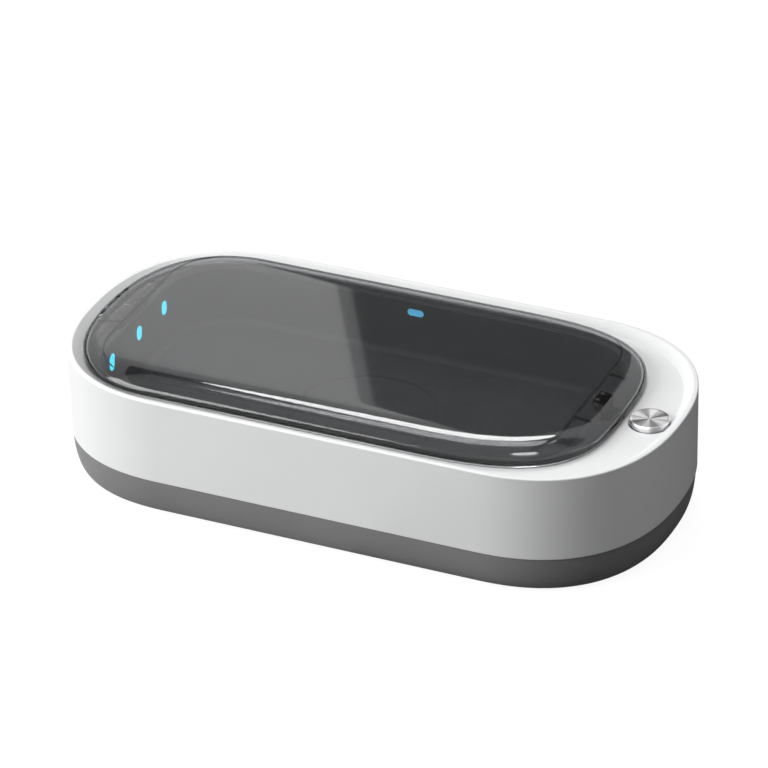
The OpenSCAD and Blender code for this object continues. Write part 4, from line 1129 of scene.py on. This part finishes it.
def only_in_gloss(obj, strength):
    """Makes a card of one brightness that only gloss sees, as a photographer's flag round shiny things."""
    obj.visible_camera = obj.visible_diffuse = obj.visible_transmission = obj.visible_shadow = False
    material, nodes, links = new_material(obj.name)
    nodes.clear()
    glow = put(nodes.new("ShaderNodeEmission"), {"Strength": strength})
    end = nodes.new("ShaderNodeOutputMaterial")
    links.new(glow.outputs["Emission"], end.inputs["Surface"])
    obj.data.materials.append(material)


def card(name, place, turn, size, strength):
    w, h = size[0] / 2 / MM, size[1] / 2 / MM
    found = mesh_object(name, [(-w, -h, 0), (w, -h, 0), (w, h, 0), (-w, h, 0)], [(0, 1, 2, 3)])
    found.location = place
    found.rotation_euler = turn
    only_in_gloss(found, strength)


def dark_surround():
    """Dark table top with a low edge round the object, so that the lid's far edge reads as a dark line."""
    outer, inner, right_inner, low, high, turns = 430.0, 250.0, 20.0, 2.0, 82.0, 64
    right_from = 0.2
    rings = [[], [], []]
    for a in full_turn(turns):
        near = right_inner if cos(a) > right_from else inner
        for ring, r, z in zip(rings, (near, outer, outer), (low, low, high)):
            ring.append((r * cos(a), r * sin(a), z))
    faces = []
    for k in (0, turns):
        for i in range(turns):
            j = (i + 1) % turns
            faces.append((k + i, k + j, k + turns + j, k + turns + i))
    only_in_gloss(mesh_object("dark_surround", rings[0] + rings[1] + rings[2], faces), 0.04)


def world():
    """Dim light for the object, and white for what the camera, metal and glass see."""
    white = (1, 1, 1, 1)
    scene_world = bpy.data.worlds.new("studio")
    bpy.context.scene.world = scene_world
    scene_world.use_nodes = True
    nodes, links = scene_world.node_tree.nodes, scene_world.node_tree.links
    nodes.clear()
    dim = put(nodes.new("ShaderNodeBackground"), {"Color": white, "Strength": 0.13})
    bright = put(nodes.new("ShaderNodeBackground"), {"Color": white, "Strength": 1.0})
    mix, end = nodes.new("ShaderNodeMixShader"), nodes.new("ShaderNodeOutputWorld")
    links.new(seen_directly(nodes, links), mix.inputs["Fac"])
    links.new(dim.outputs["Background"], mix.inputs[1])
    links.new(bright.outputs["Background"], mix.inputs[2])
    links.new(mix.outputs["Shader"], end.inputs["Surface"])


def seen_directly(nodes, links):
    """1 for camera, glossy and transmission rays that haven't met a matt surface, and 0 for the rest."""
    path = nodes.new("ShaderNodeLightPath")
    either, any_of, clear = (nodes.new("ShaderNodeMath") for _ in range(3))
    either.operation = any_of.operation = "MAXIMUM"
    clear.operation = "SUBTRACT"
    clear.use_clamp = True
    links.new(path.outputs["Is Camera Ray"], either.inputs[0])
    links.new(path.outputs["Is Glossy Ray"], either.inputs[1])
    links.new(either.outputs["Value"], any_of.inputs[0])
    links.new(path.outputs["Is Transmission Ray"], any_of.inputs[1])
    links.new(any_of.outputs["Value"], clear.inputs[0])
    links.new(path.outputs["Diffuse Depth"], clear.inputs[1])
    return clear.outputs["Value"]


def floor():
    """A plain pale floor: near white where it is seen, and dimmer where it only bounces light."""
    half, z = 6000.0, -0.05
    bounce_shade, seen_shade, own_light = (0.11, 0.11, 0.11, 1), (0.14, 0.14, 0.14, 1), 0.93
    corners = [(-half, -half, z), (half, -half, z), (half, half, z), (-half, half, z)]
    ground = mesh_object("floor", corners, [(0, 1, 2, 3)])
    material, nodes, links = new_material("pale_floor")
    nodes.clear()
    bounce = put(nodes.new("ShaderNodeBsdfDiffuse"), {"Color": bounce_shade})
    seen = put(nodes.new("ShaderNodeBsdfDiffuse"), {"Color": seen_shade})
    glow = put(nodes.new("ShaderNodeEmission"), {"Strength": own_light})
    both, mix = nodes.new("ShaderNodeAddShader"), nodes.new("ShaderNodeMixShader")
    end = nodes.new("ShaderNodeOutputMaterial")
    links.new(seen.outputs["BSDF"], both.inputs[0])
    links.new(glow.outputs["Emission"], both.inputs[1])
    links.new(seen_directly(nodes, links), mix.inputs["Fac"])
    links.new(bounce.outputs["BSDF"], mix.inputs[1])
    links.new(both.outputs["Shader"], mix.inputs[2])
    links.new(mix.outputs["Shader"], end.inputs["Surface"])
    ground.data.materials.append(material)


def camera():
    """The photograph's camera, solved from the outlines of the rim, the seam and the base."""
    distance, lens, sensor_w, far_end = 1.644, 222.46, 36, 50
    roll = radians(view_roll)
    target = Vector(view_target) * MM
    right, back = view_axes()
    up = back.cross(right)
    right, up = right * cos(roll) + up * sin(roll), up * cos(roll) - right * sin(roll)
    data = bpy.data.cameras.new("camera")
    data.lens = lens
    data.sensor_width = sensor_w
    data.clip_end = far_end
    found = bpy.data.objects.new("camera", data)
    turn = Matrix((right, up, back)).transposed()
    found.matrix_world = Matrix.Translation(target + back * distance) @ turn.to_4x4()
    bpy.context.scene.collection.objects.link(found)
    bpy.context.scene.camera = found


def springs():
    """Wire springs in place of the CAD springs; the button's and the latch's are attached to the base."""
    under_button, behind_latch, at_hinge = button_spring(), latch_spring(), hinge_spring()
    finish_piece(under_button, "base", "spring_steel", spring_steel, "button_spring")
    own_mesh(under_button)
    finish_piece(behind_latch, "base", "spring_steel", spring_steel, "latch_spring")
    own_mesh(behind_latch)
    at_hinge.data.materials.append(spring_steel)
    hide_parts("hinge_spring")
    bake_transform(at_hinge)


build()
springs()
lights()
world()
floor()
camera()
bpy.context.scene.view_settings.view_transform = "Standard"
